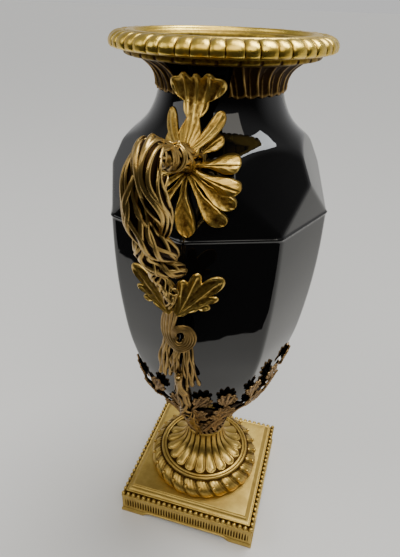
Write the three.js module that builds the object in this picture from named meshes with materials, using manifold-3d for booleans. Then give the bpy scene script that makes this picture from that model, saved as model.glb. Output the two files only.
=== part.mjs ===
// A tall black ceramic vase with gilt bronze mounts: plinth, foot, leaf cup, rim and two handles.
// Millimetres, +Z up. The origin is the middle of the square that the plinth stands on.
// The front handle is on the -Y side, the back handle on the +Y side.
import * as THREE from 'three';
import { mergeVertices } from 'three/addons/utils/BufferGeometryUtils.js';
import Module from 'manifold-3d';

// Clearances, and how far a cutter or a joined piece runs past the face that it meets
const fitGap = 0.3;
const mountGap = 0.9;
const overlap = 1;

// Plinth
const plinthSide = 138.4;
const plinthHeight = 33.6;
const plinthWall = 5;
const plinthPlateThickness = 6;
const plateSide = 117.4;
const plateEdge = 1.5;
const beadDiameter = 4.2;
const beadsPerSide = 24;
const beadDrop = 9;
const friezeInset = 1.1;
const baseBandHeight = 5.2;
const apronRise = 5.4;
const bracketShare = 0.17;
const bracketSlope = 9;
const beadBite = 0.42;
const beadNotch = 3.36;

// Foot
const footHeight = 52;
const torusRadius = 56.6;
const torusHeight = 17;
const torusLobes = 24;
const torusLobeDepth = 0.9;
const filletRadius = 44.8;
const filletHeight = 2.2;
const bellRadius = 41;
const bellSweep = 2.3;
const neckRadius = 18.2;
const fluteCount = 20;
const fluteDepth = 1.1;

// Leaf cup
const cupWall = 2.4;
const cupBaseHeight = 17;
const ropeRadius = 20.6;
const ropeHeight = 6.4;
const ropeSwell = 1.2;
const cupRise = 106.8;
const cupTopSway = 10;
const cupLeafCount = 24;
const cupLeafRise = 5;
const cupLeafRelief = 0.8;

// Ceramic body
const bodyHeight = 330;
const ringLevel = 230;
const ringRadius = 85.6;
const ringProud = 1.1;
const ringHeight = 3;
const peakShare = 0.29;
const peakLean = 1.2;
const neckOuterRadius = 43;
const bodyWall = 6;
const bodyFloor = 8;

// Rim
const rimRadius = 76.8;
const lipRadius = 65.2;
const throatRadius = 51;
const rimRise = 16.5;
const gadroonHeight = 11;
const gadroonPairs = 24;
const gadroonShare = 0.565;
const gadroonDepth = 1.5;
const collarDrop = 19;
const collarWall = 1.5;
const collarFlutes = 32;
const collarFluteDepth = 0.7;
const collarFlare = 3.2;
const collarCutHalfWidth = 15.5;

// Handles
const handleReach = 148;
const rootDrop = 68;
const archRise = 24;
const knotDrop = 74;
const scrollDrop = 192;
const bundleRadius = 11.2;
const strandCount = 7;
const strandDepth = 0.16;
const bundleTurns = 1.6;
const leafHeight = 48;
const leafThickness = 2.4;
const plateCrown = 1.6;
const leafStandOff = 16;
const leafSideBend = 5;
const petalReach = 37;
const petalThickness = 3;
const petalSpread = 13;
const petalLift = 3;
const lowerLeafReach = 24;
const lowerLeafOffset = 10;
const lowerLeafStandOff = 6;
const scrollRadius = 7.2;
const scrollStem = 5;
const tasselLength = 58;
const tasselRadius = 4.9;
const tailWidth = 11;
const tailLift = 3.4;
const tailStart = 37;

// Forms read off the object, as shares of the sizes above
// Belly: [share of the ring's level, share of its radius]
const bellyShares = [
  [0, 0.265], [0.07, 0.335], [0.133, 0.435], [0.196, 0.549], [0.254, 0.661], [0.333, 0.745],
  [0.43, 0.832], [0.528, 0.902], [0.646, 0.952], [0.763, 0.985], [0.88, 1], [1, 1],
];
// Shoulder: [share of the way from the ring to the top, share of the way from the neck to the ring]
const shoulderLevels = [
  [0.25, 0.99], [0.325, 0.915], [0.405, 0.763], [0.49, 0.563], [0.565, 0.345], [0.63, 0.2],
  [0.72, 0.085], [0.81, 0.02], [0.9, 0], [1, 0],
];
// Moulding of the plinth: [share of the way in to the plate, share of the way up to it]
const mouldingForm = [[0.2, 0.4], [0.6, 0.7]];
// Torus of the foot: [share of the way in to the fillet, share of the height, 1 where lobed]
const torusForm = [[0.28, 0, 0], [0.05, 0.18, 1], [0, 0.45, 1], [0.28, 0.8, 1], [0.8, 1, 0]];
// Rows of points, as shares of the way up a form or down into it
const stemShares = [0.12, 0.34, 0.62, 1];
const bellySteps = [0, 0.1, 0.2, 0.3, 0.42, 0.58, 0.78];
const shoulderSteps = [0.1, 0.24, 0.38, 0.55, 0.78, 1];
const innerNeckSteps = [1, 0.4, 0.1];
const innerBellySteps = [1, 0.4, 0.14, 0];
const cupSteps = [0.14, 0.34, 0.55, 0.78, 0.96];
const collarSteps = [0, 0.6, 1];
const filletShare = 0.6;
// Throat of the lip: [share of the way out to the lip, share of the rim's height down]
const throatForm = [[0, 0.25], [0.3, 0]];
const throatBite = 0.33;
// Gadroons: [share of the way from lip to rim, share of the height down, 1 where lobed]
const gadroonForm = [[0.04, 0, 0], [0.52, 0.05, 1], [1, 0.45, 1], [0.78, 0.95, 1], [0.1, 1.2, 0]];
// Handle arch: [share of the reach out of the wall, rise over the root], the rise in shares of the
// arch's rise, or of the drop to the knot where it is negative
const archForm = [
  [0.02, 0], [0.25, 0.21], [0.55, 0.58], [0.84, 1], [1, 0.96], [1.025, 0.5], [0.963, 0],
  [0.889, -0.19], [0.741, -0.42], [0.568, -0.62],
];
// Its end over the knot: [share of the way down to the knot, lift in shares of the bundle's radius]
const archEnd = [0.82, 0.25];
// Girth in shares of the bundle's radius, from the wall to the knot
const archGirth = [0.82, 0.86, 0.66, 0.6, 0.6, 0.7, 0.92, 1, 0.82, 0.78, 0.76, 0.52, 0.46];
// Fan and leaves: [direction in degrees, share of the reach], the leaves with a half width in degrees
const petalForm = [[45, 0.68], [9, 0.84], [-14, 0.93], [-29, 0.97], [-48, 1.05], [-85, 0.98]];
const upperLeafForm = [
  [90, 0.56, 14], [72, 0.58, 12], [108, 0.58, 12], [54, 0.57, 10], [126, 0.57, 10],
  [15, 0.34, 17], [165, 0.34, 17], [270, 0.42, 20],
];
// How far the upright leaf stands off the neck: [share of its height, share of the stand-off]
const upperLeafLine = [[0, 2.3], [0.12, 2.1], [0.33, 1.65], [0.5, 1.25], [0.7, 0.95], [0.9, 0.98], [1, 1.15]];
const upperLeafMiddle = 0.42;
const lowerLeafForm = [[42, 1.13, 15], [10, 0.72, 13], [-14, 0.52, 16], [78, 0.9, 14], [100, 0.68, 16], [222, 0.72, 28]];
// Scroll: [turns round its middle, share of its radius], and shares of its stem's girth along it
const scrollForm = [[0.5, 1], [0.625, 1], [0.75, 1], [0.875, 1], [1, 1], [1.125, 0.82], [1.25, 0.82]];
const scrollGirth = [1.04, 1, 0.92, 0.84, 0.76, 0.68, 0.6];
// Plates: columns round each, rows as shares of the reach, the least reach and a lobe's roundness
const leafColumns = 36;
const fanColumns = 60;
const lowerLeafColumns = 22;
const leafRows = [0.55];
const plateRows = [0.6];
const leafLeast = 0.1;
const fanLeast = 0.4;
const lowerLeafLeast = 0.25;
const lobeRoundness = 0.96;
const lowerLeafDrop = 0.375;
const lowerLeafCurl = 0.45;
// Bundles: [rows along, strands round, turns, depth of the grooves as a share of the radius]
const scrollTwist = [11, 3, 0.6, 0.18];
const tasselTwist = [3, 3, 0.25, 0.22];
const tailTwist = [7, 4, 0.5, 0.2];
const archRows = 18;
// Scroll's hook: sideways share of its radius, and the share of the way down to it
const hookForm = [-0.6, 0.5];
// Tassels: [place of the lower end across the wall in tassel radii, share of the length]
const tasselPlaces = [[-3.6, 0.88], [-1.2, 0.78], [1.7, 1]];
// Tail: how far its line bows aside, in shares of its width, at each of even places down it
const tailSway = [-0.1, -0.15, -0.17, -0.25, -0.38, -0.2];
// Tassels: share of their spread at the top, and how far they hang off the wall in shares of their radius
const tasselGather = 0.35;
const tasselHang = [1.1, 0.3];
// Tassels and tail: [share of the length, share of the girth]
const tasselForm = [[0, 0.7], [0.3, 0.9], [0.65, 1], [1, 0.94]];
const tailForm = [[0, 0.8], [0.2, 1], [0.4, 0.95], [0.62, 0.9], [0.82, 0.8], [1, 0.75]];

// Levels that follow from the sizes above
const footBase = plinthHeight + fitGap;
const footTop = footBase + footHeight;
const cupBase = footTop + fitGap;
const cupTopLevel = cupBase + cupRise;
const bodyBase = cupBase + cupBaseHeight + fitGap;
const bodyTop = bodyBase + bodyHeight;
const ringZ = bodyBase + ringLevel;
const rimTop = bodyTop + rimRise;
const rootZ = rimTop - rootDrop;
const knotZ = rootZ - knotDrop;
const scrollZ = rimTop - scrollDrop;

const wasm = await Module();
wasm.setup();

const TURN = 2 * Math.PI;
const sides = 8;
const sector = TURN / sides;
const halfSector = sector / 2;

// Shares of the way along a span, and a smooth step between two levels
const mix = (a, b, t) => a + (b - a) * t;
const clamp01 = (t) => Math.min(1, Math.max(0, t));
const smooth = (a, b, x) => {
  const t = clamp01((x - a) / (b - a));
  return t * t * (3 - 2 * t);
};

// A closed solid through rings of points: each ring has the same count, and is joined to the next.
// With loop set, the last ring joins the first; otherwise both ends are closed by a fan round the
// ring's middle, or round the given end points.
function ringSolid(rings, loop = false, ends = [null, null]) {
  const count = rings[0].length;
  const position = [];
  const index = [];
  for (const ring of rings) {
    for (const p of ring) position.push(p.x, p.y, p.z);
  }
  const spans = loop ? rings.length : rings.length - 1;
  for (let i = 0; i < spans; i += 1) {
    const a = i * count;
    const b = ((i + 1) % rings.length) * count;
    for (let j = 0; j < count; j += 1) {
      const k = (j + 1) % count;
      index.push(a + j, a + k, b + k, a + j, b + k, b + j);
    }
  }
  if (!loop) {
    for (const [row, flip, end] of [[0, true, ends[0]], [rings.length - 1, false, ends[1]]]) {
      const centre = new THREE.Vector3();
      for (const p of rings[row]) centre.addScaledVector(p, 1 / count);
      if (end) centre.copy(end);
      const c = position.length / 3;
      position.push(centre.x, centre.y, centre.z);
      for (let j = 0; j < count; j += 1) {
        const p = row * count + j;
        const q = row * count + ((j + 1) % count);
        index.push(c, flip ? q : p, flip ? p : q);
      }
    }
  }
  const geometry = new THREE.BufferGeometry();
  geometry.setAttribute('position', new THREE.Float32BufferAttribute(position, 3));
  geometry.setIndex(index);
  return facingOut(withoutSlivers(mergeVertices(geometry, 1e-3)));
}

// Drops triangles whose corners were merged into one
function withoutSlivers(geometry) {
  const from = geometry.index.array;
  const kept = [];
  for (let i = 0; i < from.length; i += 3) {
    const [a, b, c] = [from[i], from[i + 1], from[i + 2]];
    if (a !== b && b !== c && c !== a) kept.push(a, b, c);
  }
  geometry.setIndex(kept);
  return geometry;
}

// Turns every face round when the solid's signed volume is negative
function facingOut(geometry) {
  const at = geometry.attributes.position;
  const index = geometry.index.array;
  const [a, b, c] = [new THREE.Vector3(), new THREE.Vector3(), new THREE.Vector3()];
  let volume = 0;
  for (let i = 0; i < index.length; i += 3) {
    a.fromBufferAttribute(at, index[i]);
    b.fromBufferAttribute(at, index[i + 1]);
    c.fromBufferAttribute(at, index[i + 2]);
    volume += a.dot(b.cross(c));
  }
  if (volume < 0) {
    const flipped = [];
    for (let i = 0; i < index.length; i += 3) flipped.push(index[i], index[i + 2], index[i + 1]);
    geometry.setIndex(flipped);
  }
  return geometry;
}

// Booleans
function toManifold(geometry) {
  const plain = geometry.clone();
  plain.deleteAttribute('normal');
  plain.deleteAttribute('uv');
  const merged = mergeVertices(plain, 1e-4);
  return new wasm.Manifold(new wasm.Mesh({
    numProp: 3,
    vertProperties: new Float32Array(merged.attributes.position.array),
    triVerts: new Uint32Array(merged.index.array),
  }));
}

function fromManifold(solid) {
  const mesh = solid.getMesh();
  const geometry = new THREE.BufferGeometry();
  geometry.setAttribute('position', new THREE.Float32BufferAttribute(mesh.vertProperties, 3));
  geometry.setIndex(Array.from(mesh.triVerts));
  return geometry;
}

function join(geometries) {
  return fromManifold(geometries.map(toManifold).reduce((all, one) => all.add(one)));
}

function cut(geometry, cutters) {
  const whole = toManifold(geometry);
  return fromManifold(cutters.map(toManifold).reduce((all, one) => all.subtract(one), whole));
}

// A box from its lowest and highest corners
function box(low, high) {
  const geometry = new THREE.BoxGeometry(high[0] - low[0], high[1] - low[1], high[2] - low[2]);
  geometry.translate((low[0] + high[0]) / 2, (low[1] + high[1]) / 2, (low[2] + high[2]) / 2);
  return geometry;
}

const polar = (radius, angle, z) => new THREE.Vector3(radius * Math.cos(angle), radius * Math.sin(angle), z);

// A smooth line through stations [place, value], read at a place (Catmull-Rom on uneven stations)
function through(stations, at) {
  const last = stations.length - 1;
  if (at <= stations[0][0]) return stations[0][1];
  if (at >= stations[last][0]) return stations[last][1];
  let i = 0;
  while (stations[i + 1][0] < at) i += 1;
  const slope = (k) => {
    const a = stations[Math.max(0, k - 1)];
    const b = stations[Math.min(last, k + 1)];
    return (b[1] - a[1]) / (b[0] - a[0]);
  };
  const span = stations[i + 1][0] - stations[i][0];
  const t = (at - stations[i][0]) / span;
  const rise = t * t * (3 - 2 * t);
  const left = t * (1 - t) * (1 - t) * span * slope(i);
  const right = t * t * (1 - t) * span * slope(i + 1);
  return mix(stations[i][1], stations[i + 1][1], rise) + left - right;
}

// The ceramic body's form. Below the ring the radius at an edge follows the belly's profile;
// above it flat facets rise to a round shoulder, which narrows to the neck.
const apothem = Math.cos(halfSector);
const shoulderSpan = bodyHeight - ringLevel;
const peakRise = peakShare * shoulderSpan;
const peakZ = ringZ + peakRise;
const triangleSlope = Math.tan(THREE.MathUtils.degToRad(peakLean));
const peakRadius = ringRadius * apothem - triangleSlope * peakRise;
const kiteSlope = (ringRadius - peakRadius * apothem) / peakRise;
const roundBelow = 0.12;
const facetedAbove = 0.5;
const halvings = 40;
const wallPasses = 6;

function bellyRadius(z) {
  return ringRadius * through(bellyShares, (z - bodyBase) / ringLevel);
}

function shoulderRadius(z) {
  const share = through(shoulderLevels, (z - ringZ) / shoulderSpan);
  return neckOuterRadius + (ringRadius - neckOuterRadius) * share;
}

// Angle from the nearest edge of the eight-sided belly, from 0 at an edge to half a sector
const fromEdge = (angle) => Math.abs(angle - sector * Math.round(angle / sector));

function bodyRadius(angle, z) {
  const edge = fromEdge(angle);
  const flat = Math.cos(halfSector - edge);
  if (z <= ringZ) {
    const faceted = smooth(roundBelow, facetedAbove, (z - bodyBase) / ringLevel);
    return bellyRadius(z) * mix(1, apothem / flat, faceted);
  }
  const triangle = (ringRadius * apothem - triangleSlope * (z - ringZ)) / flat;
  const kite = (ringRadius - kiteSlope * (z - ringZ)) / Math.cos(edge);
  const facets = Math.min(triangle, kite);
  const shoulder = shoulderRadius(z);
  return z < peakZ ? facets : Math.min(kite, shoulder);
}

// Level at which a kite facet dies into the round shoulder
function kiteTop(edge) {
  let low = peakZ;
  let high = bodyTop;
  for (let i = 0; i < halvings; i += 1) {
    const z = (low + high) / 2;
    const kite = (ringRadius - kiteSlope * (z - ringZ)) / Math.cos(edge);
    if (kite < shoulderRadius(z)) low = z;
    else high = z;
  }
  return (low + high) / 2;
}

// Columns follow the creases: one column of each half sector is on the crease
function creaseAngle(z) {
  const spread = halfSector / 2;
  if (z <= ringZ) return mix(spread, 0, clamp01((z - bodyBase) / ringLevel) ** 2);
  if (z >= peakZ) return mix(halfSector, spread, smooth(peakZ, kiteTop(0), z));
  let low = 0;
  let high = halfSector;
  for (let i = 0; i < halvings; i += 1) {
    const edge = (low + high) / 2;
    const kite = (ringRadius - kiteSlope * (z - ringZ)) / Math.cos(edge);
    const triangle = (ringRadius * apothem - triangleSlope * (z - ringZ)) / Math.cos(halfSector - edge);
    if (kite < triangle) low = edge;
    else high = edge;
  }
  return (low + high) / 2;
}

function bodyColumns(z) {
  const crease = creaseAngle(z);
  const angles = [];
  for (let s = 0; s < sides; s += 1) {
    const start = s * sector;
    angles.push(start, start + crease, start + halfSector, start + sector - crease);
  }
  return angles;
}

function bodyRing(z, grow = 0) {
  return bodyColumns(z).map((angle) => polar(bodyRadius(angle, z) + grow, angle, z));
}

// The outer face from the base up, standing proud by grow
function bodyOuterRings(grow = 0) {
  const rings = [];
  const halfRing = ringHeight / 2;
  for (const share of bellySteps) rings.push(bodyRing(bodyBase + share * ringLevel, grow));
  rings.push(bodyRing(ringZ - halfRing, grow));
  rings.push(bodyRing(ringZ - halfRing / 2, ringProud + grow));
  for (const z of [ringZ, mix(ringZ, peakZ, 0.5), peakZ]) rings.push(bodyRing(z, grow));
  rings.push(bodyColumns(kiteTop(0)).map((angle) => {
    const z = kiteTop(fromEdge(angle));
    return polar(shoulderRadius(z) + grow, angle, z);
  }));
  for (const t of shoulderSteps) rings.push(bodyRing(mix(kiteTop(0), bodyTop, t), grow));
  return rings;
}

function makeCeramicBody() {
  const inner = (z) => {
    const outer = Math.min(bodyRadius(halfSector, z), z > peakZ ? shoulderRadius(z) : Infinity);
    return bodyColumns(z).map((angle) => polar(outer - bodyWall, angle, z));
  };
  const floorZ = bodyBase + bodyFloor;
  const rings = bodyOuterRings();
  for (const t of innerNeckSteps) rings.push(inner(mix(kiteTop(0), bodyTop, t)));
  for (const t of innerBellySteps) rings.push(inner(mix(floorZ, peakZ, t)));
  return ringSolid(rings);
}

// The space that the ceramic body takes with its clearance, which every mount is cut back from
function bodySpace() {
  const rings = bodyOuterRings(fitGap);
  const base = rings[0].map((p) => new THREE.Vector3(p.x, p.y, p.z - fitGap));
  const above = rings[rings.length - 1].map((p) => new THREE.Vector3(p.x, p.y, p.z + fitGap));
  return ringSolid([base, ...rings, above]);
}

// Plinth: a square casting, open underneath, with a bead row and an apron raised between four feet
function squareRing(side, z) {
  const h = side / 2;
  return [[-h, -h], [h, -h], [h, h], [-h, h]].map(([x, y]) => new THREE.Vector3(x, y, z));
}

function makePlinth() {
  const friezeSide = plinthSide - 2 * friezeInset;
  const friezeTop = plinthHeight - beadDrop;
  const shelf = plinthSide - 2 * beadDiameter;
  const beadTop = friezeTop + beadDiameter;
  const plateBase = plinthHeight - plateEdge;
  const shell = ringSolid([
    squareRing(plinthSide, 0),
    squareRing(plinthSide, baseBandHeight),
    squareRing(friezeSide, baseBandHeight + friezeInset),
    squareRing(friezeSide, friezeTop),
    squareRing(shelf, friezeTop + fitGap),
    squareRing(shelf, beadTop),
    ...mouldingForm.map(([inward, up]) => (
      squareRing(mix(shelf, plateSide, inward), mix(beadTop, plateBase, up))
    )),
    squareRing(plateSide, plateBase),
    squareRing(plateSide, plinthHeight),
  ]);
  const inner = friezeSide / 2 - plinthWall;
  const hollow = box([-inner, -inner, -overlap], [inner, inner, plinthHeight - plinthPlateThickness]);
  const half = plinthSide / 2;
  const foot = plinthSide * bracketShare;
  const apron = new THREE.Shape();
  apron.moveTo(-half + foot, -overlap);
  apron.lineTo(-half + foot, 0);
  apron.lineTo(-half + foot + bracketSlope, apronRise);
  apron.lineTo(half - foot - bracketSlope, apronRise);
  apron.lineTo(half - foot, 0);
  apron.lineTo(half - foot, -overlap);
  const along = new THREE.ExtrudeGeometry(apron, { depth: plinthSide + 2 * overlap, bevelEnabled: false });
  along.translate(0, 0, -half - overlap);
  along.rotateX(Math.PI / 2);
  const across = along.clone().rotateZ(Math.PI / 2);
  const casting = cut(shell, [hollow, along, across]);
  return join([casting, beadBand(friezeTop + beadBite, beadTop - beadBite)]);
}

// The bead row: a band whose outline steps out at each bead and back between two beads
function beadBand(low, high) {
  const half = plinthSide / 2 - beadBite;
  const pitch = 2 * half / beadsPerSide;
  const ring = (z) => {
    const points = [];
    for (let side = 0; side < 4; side += 1) {
      for (let i = 0; i < beadsPerSide; i += 1) {
        const valley = new THREE.Vector3(-half + i * pitch, -half + beadNotch, z);
        if (i === 0) valley.x += beadNotch;
        const crest = new THREE.Vector3(-half + (i + 0.5) * pitch, -half, z);
        for (const p of [valley, crest]) {
          points.push(p.applyAxisAngle(new THREE.Vector3(0, 0, 1), side * Math.PI / 2));
        }
      }
    }
    return points;
  };
  return ringSolid([ring(low), ring(high)]);
}

// A ring of columns, every second one set back by the depth
function fluted(radius, z, columns, depth, start = 0) {
  return Array.from({ length: columns }, (unused, j) => (
    polar(radius - (j % 2) * depth, ((j + start) / columns) * TURN, z)
  ));
}

// Foot: a torus of leaves with a fluted, waisted stem on it
function makeFoot() {
  const top = footBase + torusHeight;
  const torus = ringSolid(torusForm.map(([inward, share, lobed]) => fluted(
    mix(torusRadius, filletRadius, inward), footBase + share * torusHeight,
    torusLobes * 2, lobed * torusLobeDepth,
  )));
  const bellBase = top + filletHeight;
  const columns = fluteCount * 2;
  const stem = [
    fluted(filletRadius, top - overlap, columns, 0),
    fluted(filletRadius, mix(top, bellBase, filletShare), columns, 0),
    fluted(bellRadius, bellBase, columns, 0),
  ];
  for (const share of stemShares) {
    const radius = neckRadius + (bellRadius - neckRadius) * (1 - share) ** bellSweep;
    const depth = share < 1 ? fluteDepth * radius / bellRadius : 0;
    stem.push(fluted(radius, mix(bellBase, footTop, share), columns, depth));
  }
  return join([torus, ringSolid(stem)]);
}

// Leaf cup: a wreath that hugs the bottom of the ceramic body, with its edge cut into leaf tips
function cupTop(angle) {
  const tips = Math.abs(Math.sin(cupLeafCount * angle / 2));
  return cupTopLevel + cupTopSway * Math.cos(2 * angle) + cupLeafRise * (tips - 0.5);
}

// Radius of the cup's outer face, before its leaves' relief
function cupRadius(angle, z) {
  const form = bodyRadius(angle, Math.max(z, bodyBase)) + fitGap + cupWall;
  const stem = ropeRadius - ropeSwell;
  return z < bodyBase ? mix(stem, form, smooth(cupBase + ropeHeight, bodyBase, z)) : form;
}

function cupRings(grow = 0) {
  const columns = cupLeafCount * 2;
  const angles = Array.from({ length: columns }, (unused, j) => (j / columns) * TURN);
  const ropeTop = cupBase + ropeHeight;
  const stem = ropeRadius - ropeSwell;
  const rings = [];
  rings.push(angles.map((a) => polar(stem + grow, a, cupBase - grow)));
  rings.push(angles.map((a) => polar(ropeRadius + grow, a, cupBase + ropeHeight / 2)));
  rings.push(angles.map((a) => polar(stem + grow, a, ropeTop)));
  for (const share of cupSteps) {
    rings.push(angles.map((a) => {
      const z = mix(ropeTop, cupTop(a), share);
      const relief = cupLeafRelief * Math.cos(cupLeafCount * a + TURN * 1.5 * share);
      return polar(cupRadius(a, z) + relief + grow, a, z);
    }));
  }
  rings.push(angles.map((a) => {
    const z = cupTop(a) + grow;
    return polar(cupRadius(a, z) - cupWall / 2 + grow, a, z);
  }));
  return rings;
}

function makeLeafCup() {
  return cut(ringSolid(cupRings()), [bodySpace()]);
}

// Rim: lip, gadroons and throat in one ring, and the fluted collar below it
function gadroonAngles() {
  const pair = TURN / gadroonPairs;
  const angles = [];
  for (let i = 0; i < gadroonPairs; i += 1) {
    const wide = pair * gadroonShare;
    const narrow = pair - wide;
    const start = i * pair;
    angles.push([start, 1], [start + wide / 2, 0], [start + wide, 1], [start + wide + narrow / 2, 0]);
  }
  return angles;
}

function makeRimMount() {
  const low = rimTop - gadroonHeight;
  const throat = throatForm.map(([share, down]) => (
    [mix(throatRadius, lipRadius, share), rimTop - down * rimRise, 0]
  ));
  const outer = gadroonForm.map(([share, down, lobed]) => (
    [mix(lipRadius, rimRadius, share), rimTop - down * gadroonHeight, lobed]
  ));
  const under = [throatRadius, outer[outer.length - 1][1], 0];
  const gadroons = [...throat, ...outer, under];
  const ring = ringSolid(gadroons.map(([radius, z, lobed]) => gadroonAngles().map(([angle, valley]) => (
    polar(radius - lobed * valley * gadroonDepth, angle, z)
  ))), true);
  const columns = collarFlutes * 2;
  const collarLow = bodyTop - collarDrop;
  const collarHigh = low - collarWall / 2;
  const bore = shoulderRadius(collarLow - collarWall) + fitGap;
  const sleeve = bore + collarWall;
  const rings = collarSteps.map((share) => {
    const radius = sleeve + (lipRadius - collarWall / 2 - sleeve) * share ** collarFlare;
    return fluted(radius, mix(collarLow, collarHigh, share), columns, collarFluteDepth, share);
  });
  rings.push(fluted(throatRadius + collarWall / 2, rimTop - throatBite * rimRise, columns, 0, 1));
  rings.push(fluted(neckOuterRadius - bodyWall, bodyTop + fitGap, columns, 0, 1));
  rings.push(fluted(bore, bodyTop + fitGap, columns, 0, 1));
  rings.push(fluted(bore, collarLow, columns, 0, 1));
  const reach = rimRadius + collarDrop;
  const windows = [-1, 1].map((way) => box(
    [-collarCutHalfWidth, Math.min(0, way * reach), collarLow - overlap],
    [collarCutHalfWidth, Math.max(0, way * reach), bodyTop - collarWall],
  ));
  return join([ring, cut(ringSolid(rings, true), windows)]);
}

// Handle. Everything is made for the front side, where the wall faces -Y.
// The wall's own surface at a place x across and z up, standing proud by lift
function onWall(x, z, lift) {
  let y = -bodyRadius(-Math.PI / 2, z);
  for (let i = 0; i < wallPasses; i += 1) {
    const angle = Math.atan2(y, x);
    const radius = bodyRadius(angle + TURN, Math.max(z, bodyBase)) + lift;
    y = -Math.sqrt(Math.max(1, radius * radius - x * x));
  }
  return new THREE.Vector3(x, y, z);
}

// A thin carved plate: its outline is a reach in each direction from a centre, and a face that
// swells between the centre and the edge. The place function puts a point of it in space. Each
// share of the reach gives a row of points on both faces, so that the plate follows its wall.
function plate(reach, count, thickness, crown, shares, place) {
  const front = shares.map((share) => [share, thickness + crown * (1 - share)]);
  const back = shares.map((share) => [share, 0]).reverse();
  const rings = [...front, [1, thickness / 2], ...back].map(([share, lift]) => (
    Array.from({ length: count }, (unused, j) => {
      const angle = (j / count) * TURN;
      const radius = reach(angle) * share;
      return place(radius * Math.cos(angle), radius * Math.sin(angle), lift);
    })
  ));
  return ringSolid(rings, false, [place(0, 0, thickness + crown), place(0, 0, 0)]);
}

// Reach of a leaf made of lobes [direction in degrees, length, half width in degrees]
function lobedReach(lobes, least) {
  return (angle) => {
    let reach = least;
    for (const [direction, length, spread] of lobes) {
      let turn = angle - THREE.MathUtils.degToRad(direction);
      turn = Math.abs(turn - TURN * Math.round(turn / TURN));
      const share = turn / THREE.MathUtils.degToRad(spread);
      if (share < 1) reach = Math.max(reach, length * Math.sqrt(1 - share * share * lobeRoundness));
    }
    return reach;
  };
}

// A bundle of strands twisted round a line of points, with a radius at each of even places along it
function bundle(points, radii, [steps, lobes, turns, depth]) {
  const curve = new THREE.CatmullRomCurve3(points, false, 'centripetal');
  const stations = radii.map((radius, i) => [i / (radii.length - 1), radius]);
  const count = lobes * 2;
  const rings = [];
  const side = new THREE.Vector3(1, 0, 0);
  for (let i = 0; i <= steps; i += 1) {
    const t = i / steps;
    const centre = curve.getPoint(t);
    const tangent = curve.getTangent(t);
    const across = side.clone().addScaledVector(tangent, -side.dot(tangent)).normalize();
    const up = new THREE.Vector3().crossVectors(tangent, across);
    const radius = through(stations, t);
    const ring = [];
    for (let j = 0; j < count; j += 1) {
      const angle = (j / count) * TURN + turns * TURN * t;
      const r = radius * (1 - (j % 2) * depth);
      const p = centre.clone().addScaledVector(across, r * Math.cos(angle));
      ring.push(p.addScaledVector(up, r * Math.sin(angle)));
    }
    rings.push(ring);
  }
  return ringSolid(rings);
}

// The wall's distance in front of the vase's middle, with a mount's clearance
const wallAt = (z) => -onWall(0, z, mountGap).y;

function makeUprightLeaf() {
  const base = rootZ + leafThickness;
  const centre = base + leafHeight * upperLeafMiddle;
  const lobes = upperLeafForm.map(([direction, share, spread]) => [direction, share * leafHeight, spread]);
  const place = (u, v, lift) => {
    const share = (centre + v - base) / leafHeight;
    const bend = leafSideBend * (u / (leafHeight / 3)) ** 2 * clamp01(1 - share);
    const radius = neckOuterRadius + leafStandOff * through(upperLeafLine, share) - bend + lift;
    return polar(radius, -Math.PI / 2 + u / radius, centre + v);
  };
  const reach = lobedReach(lobes, leafHeight * leafLeast);
  return plate(reach, leafColumns, leafThickness, plateCrown, leafRows, place);
}

function makeFan() {
  const lobes = [];
  for (const [direction, share] of petalForm) {
    lobes.push([direction, petalReach * share, petalSpread]);
    lobes.push([180 - direction, petalReach * share, petalSpread]);
  }
  const centre = rootZ - 2 * petalThickness;
  const place = (u, v, lift) => (
    onWall(u, centre + v, mountGap + petalLift * Math.hypot(u, v) / petalReach + lift)
  );
  const reach = lobedReach(lobes, petalReach * fanLeast);
  return plate(reach, fanColumns, petalThickness, plateCrown, plateRows, place);
}

function makeLowerLeaf(way) {
  const lobes = lowerLeafForm.map(([direction, share, spread]) => (
    [direction, share * lowerLeafReach, spread]
  ));
  const centre = knotZ - lowerLeafReach * lowerLeafDrop;
  const place = (u, v, lift) => {
    const stand = lowerLeafStandOff * (1 - lowerLeafCurl * u / lowerLeafReach);
    return onWall(way * (lowerLeafOffset + u), centre + v, mountGap + stand + lift);
  };
  const reach = lobedReach(lobes, lowerLeafReach * lowerLeafLeast);
  return plate(reach, lowerLeafColumns, leafThickness, plateCrown, plateRows, place);
}

function makeTassel([place, long]) {
  const top = scrollZ + scrollRadius / 2;
  const points = tasselForm.map(([share]) => {
    const z = top - tasselLength * long * share;
    const spread = mix(tasselGather, 1, Math.sqrt(share));
    const hang = tasselHang[0] + tasselHang[1] * Math.sin(share * Math.PI);
    return onWall(place * tasselRadius * spread, z, mountGap + tasselRadius * hang);
  });
  return bundle(points, tasselForm.map(([, girth]) => girth * tasselRadius), tasselTwist);
}

function makeTail() {
  const top = scrollZ - tailStart;
  const low = cupBase + ropeHeight / 2;
  const points = tailForm.map(([share], i) => {
    const z = mix(top, low, share);
    const cup = Math.max(cupRadius(-Math.PI / 2, z), ropeRadius) + cupLeafRelief;
    return new THREE.Vector3(tailSway[i] * tailWidth, -cup - tailLift, z);
  });
  return bundle(points, tailForm.map(([, girth]) => girth * tailWidth / 2), tailTwist);
}

// The hook that leaves the bundle under the knot and curls into a scroll
function makeScroll() {
  const start = knotZ - scrollRadius;
  const low = -wallAt(knotZ) - scrollStem;
  const hang = -wallAt(scrollZ) - scrollStem;
  const points = [
    new THREE.Vector3(0, low, start),
    new THREE.Vector3(
      scrollRadius * hookForm[0], mix(low, hang, hookForm[1]), mix(start, scrollZ, hookForm[1]),
    ),
  ];
  for (const [turns, size] of scrollForm) {
    const [across, up] = [Math.cos(turns * TURN), Math.sin(turns * TURN)];
    points.push(new THREE.Vector3(scrollRadius * size * across, hang, scrollZ + scrollRadius * size * up));
  }
  const girth = scrollGirth.map((share) => share * scrollStem);
  return bundle(points, girth, scrollTwist);
}

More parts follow.
